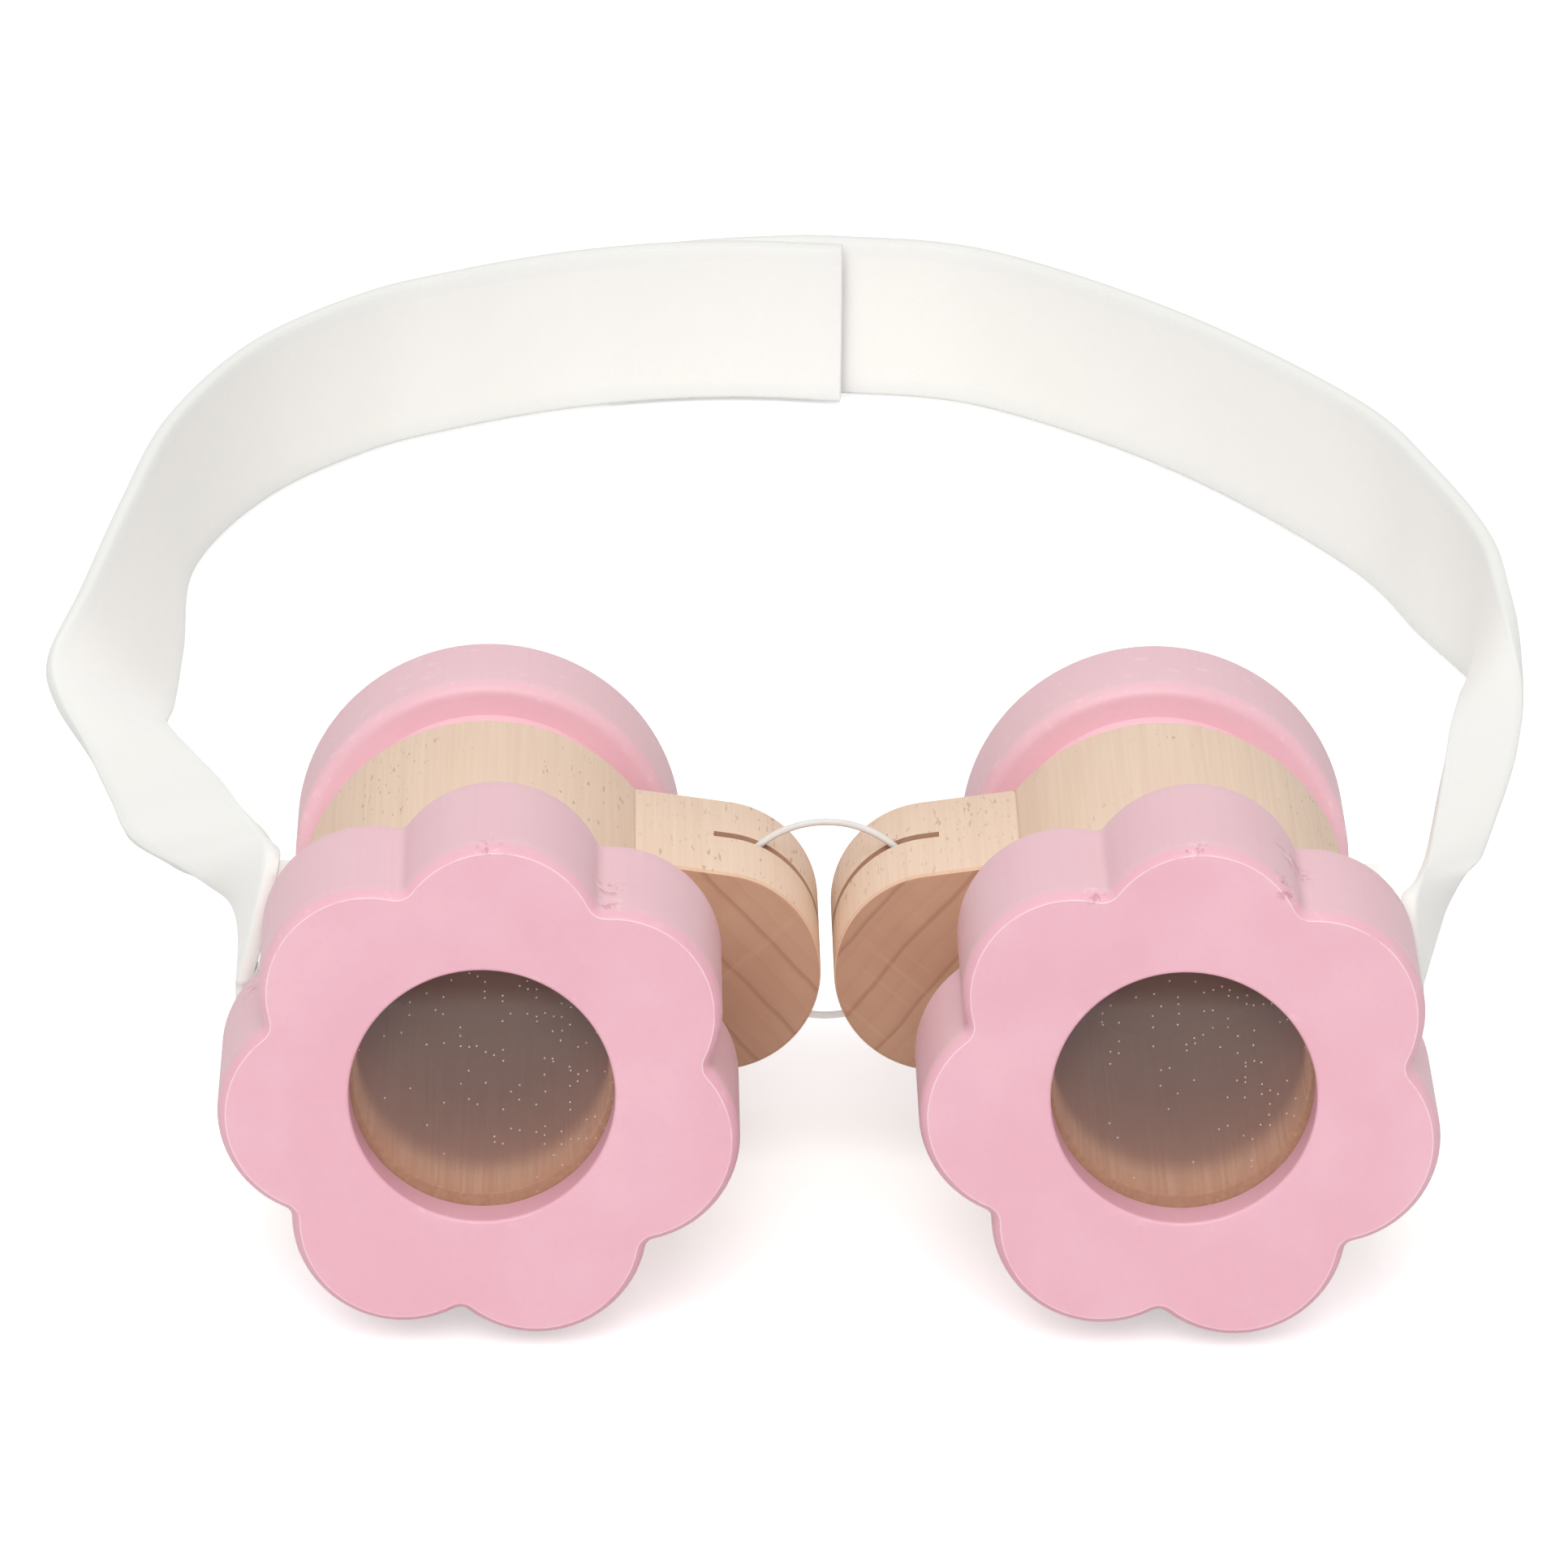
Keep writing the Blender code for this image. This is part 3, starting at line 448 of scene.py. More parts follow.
def cotton_tape(name):
    """Off-white woven tape: fine diagonal weave, denser selvedges, and a soft nap."""
    n = Nodes(name)
    place = n.add("TexCoord")
    run = n.split(place.outputs["UV"])
    along = run["X"]
    across = run["Y"]
    weft = n.math("SINE", n.math("MULTIPLY", along, 2.0 * math.pi / WEFT_PITCH))
    slant = n.math("MULTIPLY", along, TWILL)
    warp = n.math("SINE", n.math("MULTIPLY_ADD", across, 2.0 * math.pi / WARP_PITCH, slant))
    weave = n.math("MULTIPLY_ADD", n.math("MULTIPLY", weft, warp), 0.5, 0.5)
    spot = n.millimetres(place)
    cloud = n.noise(spot, (0.05, 0.05, 0.05), 3.0)
    fuzz = n.noise(spot, (3.5, 3.5, 3.5), 3.0)
    tone = n.mix(n.ramp(cloud, 0.30, 0.70), srgb(254, 252, 246), srgb(254, 252, 247))
    tone = n.tint(tone, weave, 0.12, srgb(236, 234, 229))
    tone = n.tint(tone, n.ramp(fuzz, 0.55, 0.80), 0.10, srgb(255, 254, 252))
    edge = n.math("ABSOLUTE", n.math("SUBTRACT", across, TAPE_WIDTH / 2))
    rib = n.ramp(edge, TAPE_WIDTH / 2 - 0.0024, TAPE_WIDTH / 2 - 0.0019)
    tone = n.tint(tone, rib, 0.35, srgb(243, 246, 243))
    rim = n.ramp(edge, TAPE_WIDTH / 2 - 0.0004, TAPE_WIDTH / 2 - 0.0001)
    tone = n.tint(tone, rim, 0.45, srgb(236, 238, 230))
    # Painted shadow: a lilac tint where the left tape's end laps over the right one (the seam attribute).
    seam = n.add("Attribute", attribute_name="seam").outputs["Fac"]
    tone = n.tint(tone, seam, 0.28, srgb(246, 239, 246))
    n.set(Base_Color=tone, Roughness=0.86, Sheen_Weight=0.25, Sheen_Roughness=0.5, Specular_IOR_Level=0.25)
    n.set(Subsurface_Weight=0.12, Subsurface_Radius=(0.004, 0.004, 0.0036), Subsurface_Scale=0.6)
    hem = n.add("Attribute", attribute_name="hem").outputs["Fac"]
    stitch = n.math("SINE", n.math("MULTIPLY", along, 2.0 * math.pi / STITCH_PITCH))
    sewn = n.ramp(edge, TAPE_WIDTH / 2 - 0.0024, TAPE_WIDTH / 2 - 0.0010)
    lump = n.math("MULTIPLY", n.math("MULTIPLY", stitch, hem), sewn)
    height = n.math("ADD", n.math("MULTIPLY", weave, 0.7), n.math("MULTIPLY", fuzz, 0.5))
    n.set(Normal=n.bump(lump, 0.5, 0.0004, n.bump(height, 0.20, 0.0001)))
    return n.owner


def nap_patch(name, tone):
    """Short nap of hooks or loops."""
    n = Nodes(name)
    spot = n.millimetres(n.add("TexCoord"))
    dots = n.add("TexVoronoi", {"Vector": spot, "Scale": 1.7}, feature="F1").outputs["Distance"]
    n.set(Base_Color=n.mix(dots, tone, srgb(250, 250, 247)), Roughness=0.95, Sheen_Weight=0.3)
    n.set(Normal=n.bump(dots, 0.6, 0.0003))
    return n.owner


def plated_steel(name):
    """Plated steel with a cloudy sheen."""
    n = Nodes(name)
    spot = n.millimetres(n.add("TexCoord"))
    mottle = n.noise(spot, (0.8, 0.8, 0.8), 4.0)
    n.set(Base_Color=n.mix(mottle, (0.52, 0.52, 0.53, 1.0), (0.70, 0.70, 0.71, 1.0)), Metallic=1.0)
    n.set(Roughness=n.math("MULTIPLY_ADD", mottle, 0.25, 0.18))
    return n.owner


def dowel_wood(name):
    """Plain dowel with its grain along the barrel."""
    n = Nodes(name)
    spot = n.millimetres(n.add("TexCoord"))
    strand = n.noise(spot, (2.5, 0.1, 2.5), 4.0)
    n.set(Base_Color=n.mix(strand, srgb(176, 132, 98), srgb(214, 176, 142)), Roughness=0.6)
    n.set(Normal=n.bump(strand, 0.3, 0.0001))
    return n.owner


def add_piece(name, mesh, material, matrix=None):
    """A new object with one material, placed by the matrix."""
    piece = bpy.data.objects.new(name, mesh)
    bpy.context.scene.collection.objects.link(piece)
    piece.data.materials.clear()
    piece.data.materials.append(material)
    if matrix is not None:
        piece.matrix_world = matrix
    return piece


def finish_mesh(bm, name, sharp=40.0):
    """The shaded mesh, with edges sharper than the angle, in degrees, kept sharp."""
    bmesh.ops.recalc_face_normals(bm, faces=bm.faces[:])
    mesh = bpy.data.meshes.new(name)
    bm.to_mesh(mesh)
    bm.free()
    mesh.shade_smooth()
    mesh.set_sharp_from_angle(angle=math.radians(sharp))
    return mesh


def bake(piece, sharp):
    """Takes the piece's modifiers into its mesh."""
    bpy.context.view_layer.update()
    graph = bpy.context.evaluated_depsgraph_get()
    mesh = bpy.data.meshes.new_from_object(piece.evaluated_get(graph))
    old = piece.data
    piece.modifiers.clear()
    piece.data = mesh
    bpy.data.meshes.remove(old)
    mesh.shade_smooth()
    mesh.set_sharp_from_angle(angle=math.radians(sharp))


def arc(centre, radius, start, end, steps):
    """Points of an arc; angles in degrees."""
    points = []
    for step in range(steps + 1):
        turn = math.radians(start + (end - start) * step / steps)
        points.append((centre[0] + radius * math.cos(turn), centre[1] + radius * math.sin(turn)))
    return points


def turned_ring(bm, radius, u, steps):
    """Points round the barrel's axis, or one point on it."""
    ring = []
    for i in range(steps if radius else 1):
        turn = 2.0 * math.pi * i / steps
        ring.append(bm.verts.new((radius * math.cos(turn), u, radius * math.sin(turn))))
    return ring


def join_rings(bm, rings):
    """Faces from each ring of points to the next. A ring of one point gets triangles."""
    for ring, following in zip(rings, rings[1:]):
        steps = max(len(ring), len(following))
        for i in range(steps):
            j = (i + 1) % steps
            corners = [ring[i % len(ring)], ring[j % len(ring)]]
            corners += [following[j % len(following)], following[i % len(following)]]
            bm.faces.new(list(dict.fromkeys(corners)))


def lathe(name, profile, wear=(), steps=112):
    """A closed profile of (radius, u) turned round the barrel's axis. wear numbers its worn points."""
    bm = bmesh.new()
    layer = bm.verts.layers.float.new("wear")
    rings = []
    for k, (radius, u) in enumerate(profile):
        ring = turned_ring(bm, radius, u, steps)
        for vert in ring:
            vert[layer] = 1.0 if k in wear else 0.0
        rings.append(ring)
    join_rings(bm, rings + rings[:1])
    return finish_mesh(bm, name)


def solid_disc(name, profile, steps=112):
    """A profile of (radius, u) that starts and ends on the axis, turned round it."""
    bm = bmesh.new()
    join_rings(bm, [turned_ring(bm, radius, u, steps) for radius, u in profile])
    return finish_mesh(bm, name)


def flower_outline(inset, petal_steps=24, notch_steps=8):
    """Petal arcs joined by hollow fillets, moved inwards by inset."""
    half = math.pi / PETALS
    along = PETAL_CENTRE * math.cos(half)
    across = PETAL_CENTRE * math.sin(half)
    fillet = along + math.sqrt((PETAL_RADIUS + NOTCH_RADIUS) ** 2 - across ** 2)
    lean = math.atan2(fillet * math.sin(half), fillet * math.cos(half) - PETAL_CENTRE)
    points = []
    for petal in range(PETALS):
        turn = NOTCH_TURN + half * (2 * petal + 1)
        for step in range(petal_steps + 1):
            angle = turn + lean * (2.0 * step / petal_steps - 1.0)
            points.append((
                PETAL_CENTRE * math.cos(turn) + (PETAL_RADIUS - inset) * math.cos(angle),
                PETAL_CENTRE * math.sin(turn) + (PETAL_RADIUS - inset) * math.sin(angle),
            ))
        notch = turn + half
        for step in range(1, notch_steps):
            angle = notch + math.pi + (lean - half) * (1.0 - 2.0 * step / notch_steps)
            points.append((
                fillet * math.cos(notch) + (NOTCH_RADIUS + inset) * math.cos(angle),
                fillet * math.sin(notch) + (NOTCH_RADIUS + inset) * math.sin(angle),
            ))
    return points


def flower_mesh(name):
    """Thick ring of petals: each ring of points is an outline, its depth and how worn it is."""
    edge = flower_outline(0.0)
    angles = [math.atan2(w, x) for x, w in edge]

    def circle(radius):
        return [(radius * math.cos(angle), radius * math.sin(angle)) for angle in angles]

    rings = [(circle(SIGHT_RADIUS), SIGHT_DEPTH, 0.0), (circle(SIGHT_RADIUS), SIGHT_ROUND, 0.1)]
    round_steps = 5
    for step in range(1, round_steps + 1):
        turn = math.pi / 2 * step / round_steps
        radius = SIGHT_RADIUS + SIGHT_ROUND * (1.0 - math.cos(turn))
        rings.append((circle(radius), SIGHT_ROUND * (1.0 - math.sin(turn)), 0.6))
    rings.append((circle(SIGHT_RADIUS + FACE_MARGIN), 0.0, 0.0))
    brink = FRONT_ARC * (1.0 - math.cos(FRONT_SWEEP))
    flat = FRONT_ARC * math.sin(FRONT_SWEEP)
    rings.append((flower_outline(brink + FACE_MARGIN), 0.0, 0.0))
    rings.append((flower_outline(brink + FACE_LIP), 0.0, 0.3))
    first_of_arc = len(rings)
    arc_steps = 12
    shortened = 0.55  # the arc's first step is shorter by this, for a fine bright line
    for step in range(arc_steps + 1):
        gone = max(0.0, step - shortened) / (arc_steps - shortened)
        turn = FRONT_SWEEP * (1.0 - gone)
        inset = FRONT_ARC * (1.0 - math.cos(turn))
        rings.append((flower_outline(inset), flat - FRONT_ARC * math.sin(turn), 0.5))
    last_of_arc = len(rings) - 1
    rings.append((edge, flat + SIDE_MARGIN, 0.0))
    rings.append((edge, FLOWER_DEPTH - BACK_ROUND - SIDE_MARGIN, 0.0))
    for step in range(round_steps + 1):
        turn = math.pi / 2 * step / round_steps
        inset = BACK_ROUND * (1.0 - math.cos(turn))
        rings.append((flower_outline(inset), FLOWER_DEPTH - BACK_ROUND * (1.0 - math.sin(turn)), 0.7))
    rings.append((circle(SOCKET_RADIUS), FLOWER_DEPTH, 0.0))
    rings.append((circle(SOCKET_RADIUS), SIGHT_DEPTH, 0.0))
    bm = bmesh.new()
    layer = bm.verts.layers.float.new("wear")
    # The edge layer marks the front edge's crisp line, which the paint gives a painted highlight.
    painted_highlight_layer = bm.verts.layers.float.new("edge")
    # The band layer marks the front rounding, which the paint darkens as painted shade.
    painted_shade_layer = bm.verts.layers.float.new("band")
    loops = []
    for k, (points, u, wear) in enumerate(rings):
        loop = []
        for x, w in points:
            vert = bm.verts.new((x, u, w))
            vert[layer] = wear
            vert[painted_highlight_layer] = 1.0 if k == first_of_arc else 0.0
            vert[painted_shade_layer] = 1.0 if first_of_arc < k < last_of_arc - 2 else 0.0
            loop.append(vert)
        loops.append(loop)
    join_rings(bm, loops + loops[:1])
    return finish_mesh(bm, name, 30.0)


def barrel_mesh(name):
    """Tube with a tenon for the flower in front and a socket for the eyepiece behind."""
    soft = BARREL_ROUND
    socket = BARREL_END - SOCKET_LENGTH
    profile = [(BORE_RADIUS, TENON_FRONT + BORE_EDGE_DEPTH), (BORE_RADIUS + BORE_EDGE_WIDTH, TENON_FRONT)]
    profile += [(LENS_RADIUS - TENON_EDGE, TENON_FRONT), (LENS_RADIUS, TENON_FRONT + TENON_EDGE)]
    profile += [(LENS_RADIUS, BARREL_FRONT)]
    profile += arc((BARREL_RADIUS - soft, BARREL_FRONT + soft), soft, -90.0, 0.0, 5)
    profile += arc((BARREL_RADIUS - soft, BARREL_END - soft), soft, 0.0, 90.0, 5)
    profile += [(SOCKET_RADIUS + TENON_EDGE, BARREL_END), (SOCKET_RADIUS, BARREL_END - TENON_EDGE)]
    profile += [(SOCKET_RADIUS, socket), (BORE_RADIUS, socket)]
    return lathe(name, profile)


def eyepiece_mesh(name):
    """Turned ring on a neck, with a spigot that goes into the barrel and a dished back with a hole."""
    spigot = BARREL_END - SPIGOT_LENGTH
    shoulder = BARREL_END + SHOULDER_GAP
    brim = EYE_END - DISH_ROUND
    profile = [(EYE_HOLE, spigot), (LENS_RADIUS - EYE_EDGE, spigot), (LENS_RADIUS, spigot + EYE_EDGE)]
    profile += [(LENS_RADIUS, shoulder), (EYE_NECK - EYE_EDGE, shoulder), (EYE_NECK, shoulder + EYE_EDGE)]
    profile += [(EYE_NECK, EYE_FRONT - NECK_FILLET), (EYE_NECK + NECK_FILLET, EYE_FRONT)]
    start = len(profile)
    centre = (EYE_RADIUS - EYE_FRONT_ROUND, EYE_FRONT + EYE_FRONT_ROUND)
    profile += arc(centre, EYE_FRONT_ROUND, -90.0, 0.0, 7)
    profile += arc((EYE_RADIUS - EYE_BACK_ROUND, EYE_END - EYE_BACK_ROUND), EYE_BACK_ROUND, 0.0, 90.0, 9)
    worn = set(range(start + 1, len(profile) - 1))
    profile += arc((DISH_RADIUS + DISH_ROUND, brim), DISH_ROUND, 90.0, 180.0, 5)
    dish_steps = 7
    for step in range(1, dish_steps + 1):
        turn = math.pi / 2 * step / dish_steps
        radius = DISH_RADIUS - (DISH_RADIUS - EYE_HOLE) * (1.0 - math.cos(turn))
        profile.append((radius, brim - DISH_DEPTH * math.sin(turn)))
    return lathe(name, profile, wear=worn)


def lens_mesh(name, front):
    """Flat disc with softened rims."""
    back = front + LENS_THICKNESS
    middle = LENS_RADIUS * 0.5
    rim = LENS_RADIUS - LENS_EDGE
    return solid_disc(name, [
        (0.0, front), (middle, front), (rim, front), (LENS_RADIUS, front + LENS_EDGE),
        (LENS_RADIUS, back - LENS_EDGE), (rim, back), (middle, back), (0.0, back),
    ])


def cut_out(piece, boxes, sharp, matrix=None):
    """Cuts boxes, each a centre and a size in the piece's own frame, out of the piece."""
    bm = bmesh.new()
    for centre, size in boxes:
        place = Matrix.Translation(centre) @ Matrix.Diagonal((*size, 1.0))
        bmesh.ops.create_cube(bm, size=1.0, matrix=place)
    cutter = add_piece(piece.name + "_cut", finish_mesh(bm, "cut"), piece.data.materials[0], matrix)
    cut = piece.modifiers.new("cut", "BOOLEAN")
    cut.object = cutter
    cut.solver = "EXACT"
    cut.use_self = len(boxes) > 1
    bake(piece, sharp)
    bpy.data.objects.remove(cutter)


def lobe_piece(name, side, material, matrix):
    """The flat ear towards the other barrel, with its saw kerf."""
    inward = -OUTWARD[side]
    tip = LOBE_REACH - LOBE_TIP
    root = Vector((LOBE_ROOT, LOBE_HALF))
    away = root - Vector((tip, 0.0))
    start = math.atan2(away.y, away.x) - math.acos(LOBE_TIP / away.length)
    outline = [(root.x, root.y)]
    tip_steps = 48
    for step in range(tip_steps + 1):
        angle = start * (1.0 - 2.0 * step / tip_steps)
        outline.append((tip + LOBE_TIP * math.cos(angle), LOBE_TIP * math.sin(angle)))
    outline.append((root.x, -root.y))
    bm = bmesh.new()
    face = bm.faces.new([bm.verts.new((inward * x, LOBE_FRONT, w)) for x, w in outline])
    pulled = bmesh.ops.extrude_face_region(bm, geom=[face])["geom"]
    moved = [part for part in pulled if isinstance(part, bmesh.types.BMVert)]
    bmesh.ops.translate(bm, verts=moved, vec=(0.0, LOBE_BACK - LOBE_FRONT, 0.0))
    bmesh.ops.recalc_face_normals(bm, faces=bm.faces[:])
    tiny = 1e-6
    rims = []
    for edge in bm.edges:
        flat = abs(edge.verts[0].co.y - edge.verts[1].co.y) < tiny
        inner = max(abs(vert.co.x) for vert in edge.verts) < root.x + tiny
        if flat and not inner:
            rims.append(edge)
    bmesh.ops.bevel(bm, geom=rims, offset=LOBE_ROUND, segments=3, profile=0.5, affect="EDGES")
    piece = add_piece(name, finish_mesh(bm, name), material, matrix)
    end = LOBE_REACH + KERF_PAST
    kerf_middle = (inward * (KERF_FLOOR + end) / 2, KERF_PLANE, 0.0)
    cut_out(piece, ((kerf_middle, (end - KERF_FLOOR, KERF_WIDTH, KERF_HEIGHT)),), 30.0, matrix)
    return piece


def at_anchor(side):
    """Takes a piece made along Y to the strap's screw on the barrel's outer side."""
    spin = Matrix.Rotation(-OUTWARD[side] * math.pi / 2, 4, "Z")
    place = (AXIS_X[side] + OUTWARD[side] * BARREL_RADIUS, ANCHOR_U, 0.0)
    return TOY @ Matrix.Translation(place) @ spin


def screw_piece(name, side, material):
    """Low head with a cross recess, under the sewn end's outer layer."""
    profile = [(0.0, SCREW_POINT), (SHANK_RADIUS, SHANK_END), (SHANK_RADIUS, HEAD_SEAT)]
    profile += [(HEAD_RADIUS, HEAD_SEAT)]
    profile += arc((HEAD_RADIUS - HEAD_ROUND, HEAD_CROWN - HEAD_ROUND), HEAD_ROUND, 0.0, 80.0, 6)
    profile += [(CROWN_RADIUS, HEAD_CROWN - CROWN_RISE), (0.0, HEAD_CROWN)]
    piece = add_piece(name, solid_disc(name, profile, 48), material)
    middle = (0.0, HEAD_CROWN, 0.0)
    slot = (CROSS_WIDTH, CROSS_DEPTH, CROSS_LENGTH)
    cut_out(piece, ((middle, slot), (middle, slot[::-1])), 35.0)
    piece.matrix_world = at_anchor(side)
    return piece


def washer_piece(name, side, material):
    """Thin ring with softened rims, under the screw's head."""
    profile = [(WASHER_HOLE, WASHER_LOW), (WASHER_RADIUS - WASHER_EDGE, WASHER_LOW)]
    profile += [(WASHER_RADIUS, WASHER_LOW + WASHER_EDGE), (WASHER_RADIUS, WASHER_HIGH - WASHER_ROUND)]
    profile += [(WASHER_RADIUS - WASHER_ROUND, WASHER_HIGH), (WASHER_HOLE + WASHER_EDGE, WASHER_HIGH)]
    profile += [(WASHER_HOLE, WASHER_HIGH - WASHER_EDGE)]
    return add_piece(name, lathe(name, profile, steps=56), material, at_anchor(side))


def build_half(side):
    """One barrel with its lobe, flower, eyepiece, lenses, screw and washer."""
    clear = clear_lens(f"clear_lens_{side}", DUST_SHIFT * OUTWARD[side])
    matrix = TOY @ Matrix.Translation((AXIS_X[side], 0.0, 0.0))
    seed = SEED[side]
    lean = GRAIN_LEAN[side]
    wood = beech(f"beech_{side}", seed, lean)
    glue_line = math.sqrt(BARREL_RADIUS ** 2 - LOBE_HALF ** 2)
    lobe_wood = beech(f"beech_{side}_lobe", seed + 2.0, lean, glue_line)
    coat = pink_paint(f"pink_{side}_flower", seed, chips=CHIPS[side])
    ring_coat = pink_paint(f"pink_{side}_ring", seed + 4.0, RING_PALE)

    def put(piece, slot, *nodes):
        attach(piece, BODY[side])
        if nodes:
            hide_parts(*nodes)

    flower = add_piece(f"{side}_flower", flower_mesh(f"{side}_flower"), coat, matrix)
    put(flower, "pink_paint", f"{side}_flower_ring")
    tube = add_piece(f"{side}_tube", barrel_mesh(f"{side}_tube"), wood, matrix)
    put(tube, "beech", f"{side}_barrel")
    put(lobe_piece(f"{side}_lobe", side, lobe_wood, matrix), "beech")
    eye = add_piece(f"{side}_eyepiece", eyepiece_mesh(f"{side}_eyepiece"), ring_coat, matrix)
    put(eye, "pink_paint", f"{side}_eyepiece_ring")
    for name, front in (("objective", OBJECTIVE_FRONT), ("eyepiece", EYE_LENS_FRONT)):
        glass = add_piece(f"{side}_{name}_glass", lens_mesh(f"{side}_{name}_glass", front), clear, matrix)
        put(glass, "clear_lens", f"{side}_{name}_lens")
    put(screw_piece(f"{side}_screw", side, STEEL), "plated_steel", f"{side}_strap_screw")
    put(washer_piece(f"{side}_washer", side, STEEL), "plated_steel", f"{side}_strap_washer")
    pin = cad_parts[f"{side}_hinge_pin"]
    pin.data.materials.clear()
    pin.data.materials.append(DOWEL)


def ring_mesh(name, points, first, last, radius, sides=14):
    """A stretch of a round cord ring from one of its points to another, with capped ends."""
    bm = bmesh.new()
    count = len(points)
    rings = []
    for i in range(first, last + 1):
        ahead = (points[(i + 1) % count] - points[(i - 1) % count]).normalized()
        side = ahead.cross(Vector((0.0, 1.0, 0.0))).normalized()
        up = side.cross(ahead).normalized()
        ring = []
        for k in range(sides):
            turn = 2.0 * math.pi * k / sides
            reach = (side * math.cos(turn) + up * math.sin(turn)) * radius
            ring.append(bm.verts.new(points[i % count] + reach))
        rings.append(ring)
    join_rings(bm, rings)
    bm.faces.new(rings[0])
    bm.faces.new(rings[-1])
    return finish_mesh(bm, name, 60.0)


def build_cord():
    """The cord ring in two halves that meet in the middle."""
    steps = 120
    points = []
    for i in range(steps):
        turn = 2.0 * math.pi * i / steps
        height = CORD_RING * math.sin(turn) + CORD_LIFT
        points.append(Vector((CORD_RING * math.cos(turn), KERF_PLANE, height)))
    quarter = steps // 4

    def across(x):
        return TOY @ Vector((x, KERF_PLANE, 0.0))

    for name, first, bend in (
        ("cord_ring_left", quarter, ("left_half", "cord", across(-CORD_HELD), across(-CORD_MIDDLE))),
        ("cord_ring_right", 3 * quarter, ("cord", "right_half", across(CORD_MIDDLE), across(CORD_HELD))),
    ):
        mesh = ring_mesh(name, points, first, first + 2 * quarter, CORD_RADIUS)
        mesh.transform(TOY)
        cord = add_piece(name, mesh, CORD)
        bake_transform(cord)
        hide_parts("hinge_cord")


# Strap: upper and lower edge of the tape at each station, as
# (outwards from TURN_SIDE, back from TURN_BACK, height above the table).
TURN_SIDE = 0.0565
TURN_BACK = 0.0309
LEFT_TURN = (
    ((0.0085, 0.0120, 0.0325), (0.0014, -0.0050, 0.0425)),
    ((0.0136, 0.0240, 0.0296), (0.0025, 0.0060, 0.0408)),
    ((0.0180, 0.0360, 0.0272), (0.0057, 0.0220, 0.0372)),
    ((0.0205, 0.0582, 0.0212), (0.0087, 0.0448, 0.0303)),
    ((0.0240, 0.0795, 0.0178), (0.0124, 0.0655, 0.0245)),
    ((0.0285, 0.0995, 0.0160), (0.0157, 0.0895, 0.0165)),
    ((0.0295, 0.1105, 0.0168), (0.0165, 0.1105, 0.0084)),
    ((0.0262, 0.1235, 0.0192), (0.0167, 0.1295, 0.0026)),
    ((0.0222, 0.1480, 0.0203), (0.0165, 0.1490, 0.0008)),
    ((0.0176, 0.1730, 0.0204), (0.0160, 0.1740, 0.0006)),
    ((0.0086, 0.1960, 0.0204), (0.0080, 0.1965, 0.0004)),
)
RIGHT_TURN = (
    ((0.0096, 0.0100, 0.0345), (0.0034, -0.0072, 0.0392)),
    ((0.0125, 0.0206, 0.0315), (0.0056, 0.0030, 0.0387)),
    ((0.0161, 0.0414, 0.0280), (0.0079, 0.0245, 0.0334)),
    ((0.0197, 0.0647, 0.0250), (0.0108, 0.0515, 0.0288)),
    ((0.0220, 0.0875, 0.0220), (0.0131, 0.0735, 0.0240)),
    ((0.0225, 0.1075, 0.0208), (0.0161, 0.0975, 0.0170)),
    ((0.0221, 0.1225, 0.0203), (0.0187, 0.1205, 0.0090)),
    ((0.0208, 0.1388, 0.0203), (0.0205, 0.1395, 0.0015)),
    ((0.0158, 0.1584, 0.0204), (0.0155, 0.1552, 0.0006)),
    ((0.0080, 0.1790, 0.0204), (0.0080, 0.1768, 0.0004)),
)
BARREL_SIDE = 0.0559
ANCHOR_Y = 0.031886
ANCHOR_Z = 0.025178
BACK_Y = 0.2603
LEFT_SAG, LEFT_MIDDLE, LEFT_START = 0.0268, -0.0070, -0.0525
RIGHT_SAG, RIGHT_MIDDLE, RIGHT_START = 0.0527, 0.0070, 0.0452
LAP_LEFT = 0.0240
LAP_RIGHT = 0.0050
INNER_LAYER = 0.0012
OUTER_LAYER = 0.0050
HEM_DROP = 0.0090
HEM_RISE = 0.0105
EDGE_FLARE = 0.0034
FRONT_LIFT = 0.0020  # the inner layer's front edge comes up to the outer layer
FLARE_SHARE = 0.40  # share of the tape's width that flares
FRONT_SHARE = 0.24  # share of the tape's width that the front lift takes
STRAP_LIFT = 0.0004
RIGHT_INSET = 0.0016  # the right tape lies this much in front of its lap before it passes behind
LAP_DROP = 0.0016  # the lapped end's upper edge comes down by this
SEAM_SHADOW_SPREAD = 0.0022
LOOP_BACK = 0.2  # further back than this, the tape is at the back of the loop
PATCH_WIDTH = 0.016
PATCH_THICKNESS = 0.0004
PATCH_INSET = 0.0020
LEFT_BEND = ("left_half", "cord", (-0.078, 0.040, 0.01), (-0.026, 0.124, 0.01))
RIGHT_BEND = ("cord", "right_half", (0.012, 0.126, 0.01), (0.078, 0.020, 0.01))
HOOK_OFFSET = 0.0012
LOOP_OFFSET = 0.0017
LAP_OFFSET = 0.0029
SHIFT = Vector((ORIGIN.x, ORIGIN.y, -0.000005))


def smooth(share):
    """0 to 1 with a soft start and end."""
    return share * share * (3.0 - 2.0 * share)


def spline_rows(stations, steps=12):
    """Rows of a smooth curve through the stations."""
    rows = []
    last = len(stations) - 1
    for i in range(last):
        a, b, c, d = (stations[min(max(i + k, 0), last)] for k in (-1, 0, 1, 2))
        for step in range(steps):
            t = step / steps
            row = []
            for p, q, r, s in zip(a, b, c, d):
                bend = (2 * p - 5 * q + 4 * r - s) * t * t + (3 * q - p - 3 * r + s) * t ** 3
                row.append((2 * q + (r - p) * t + bend) / 2)
            rows.append(row)
    rows.append(list(stations[-1]))
    return rows


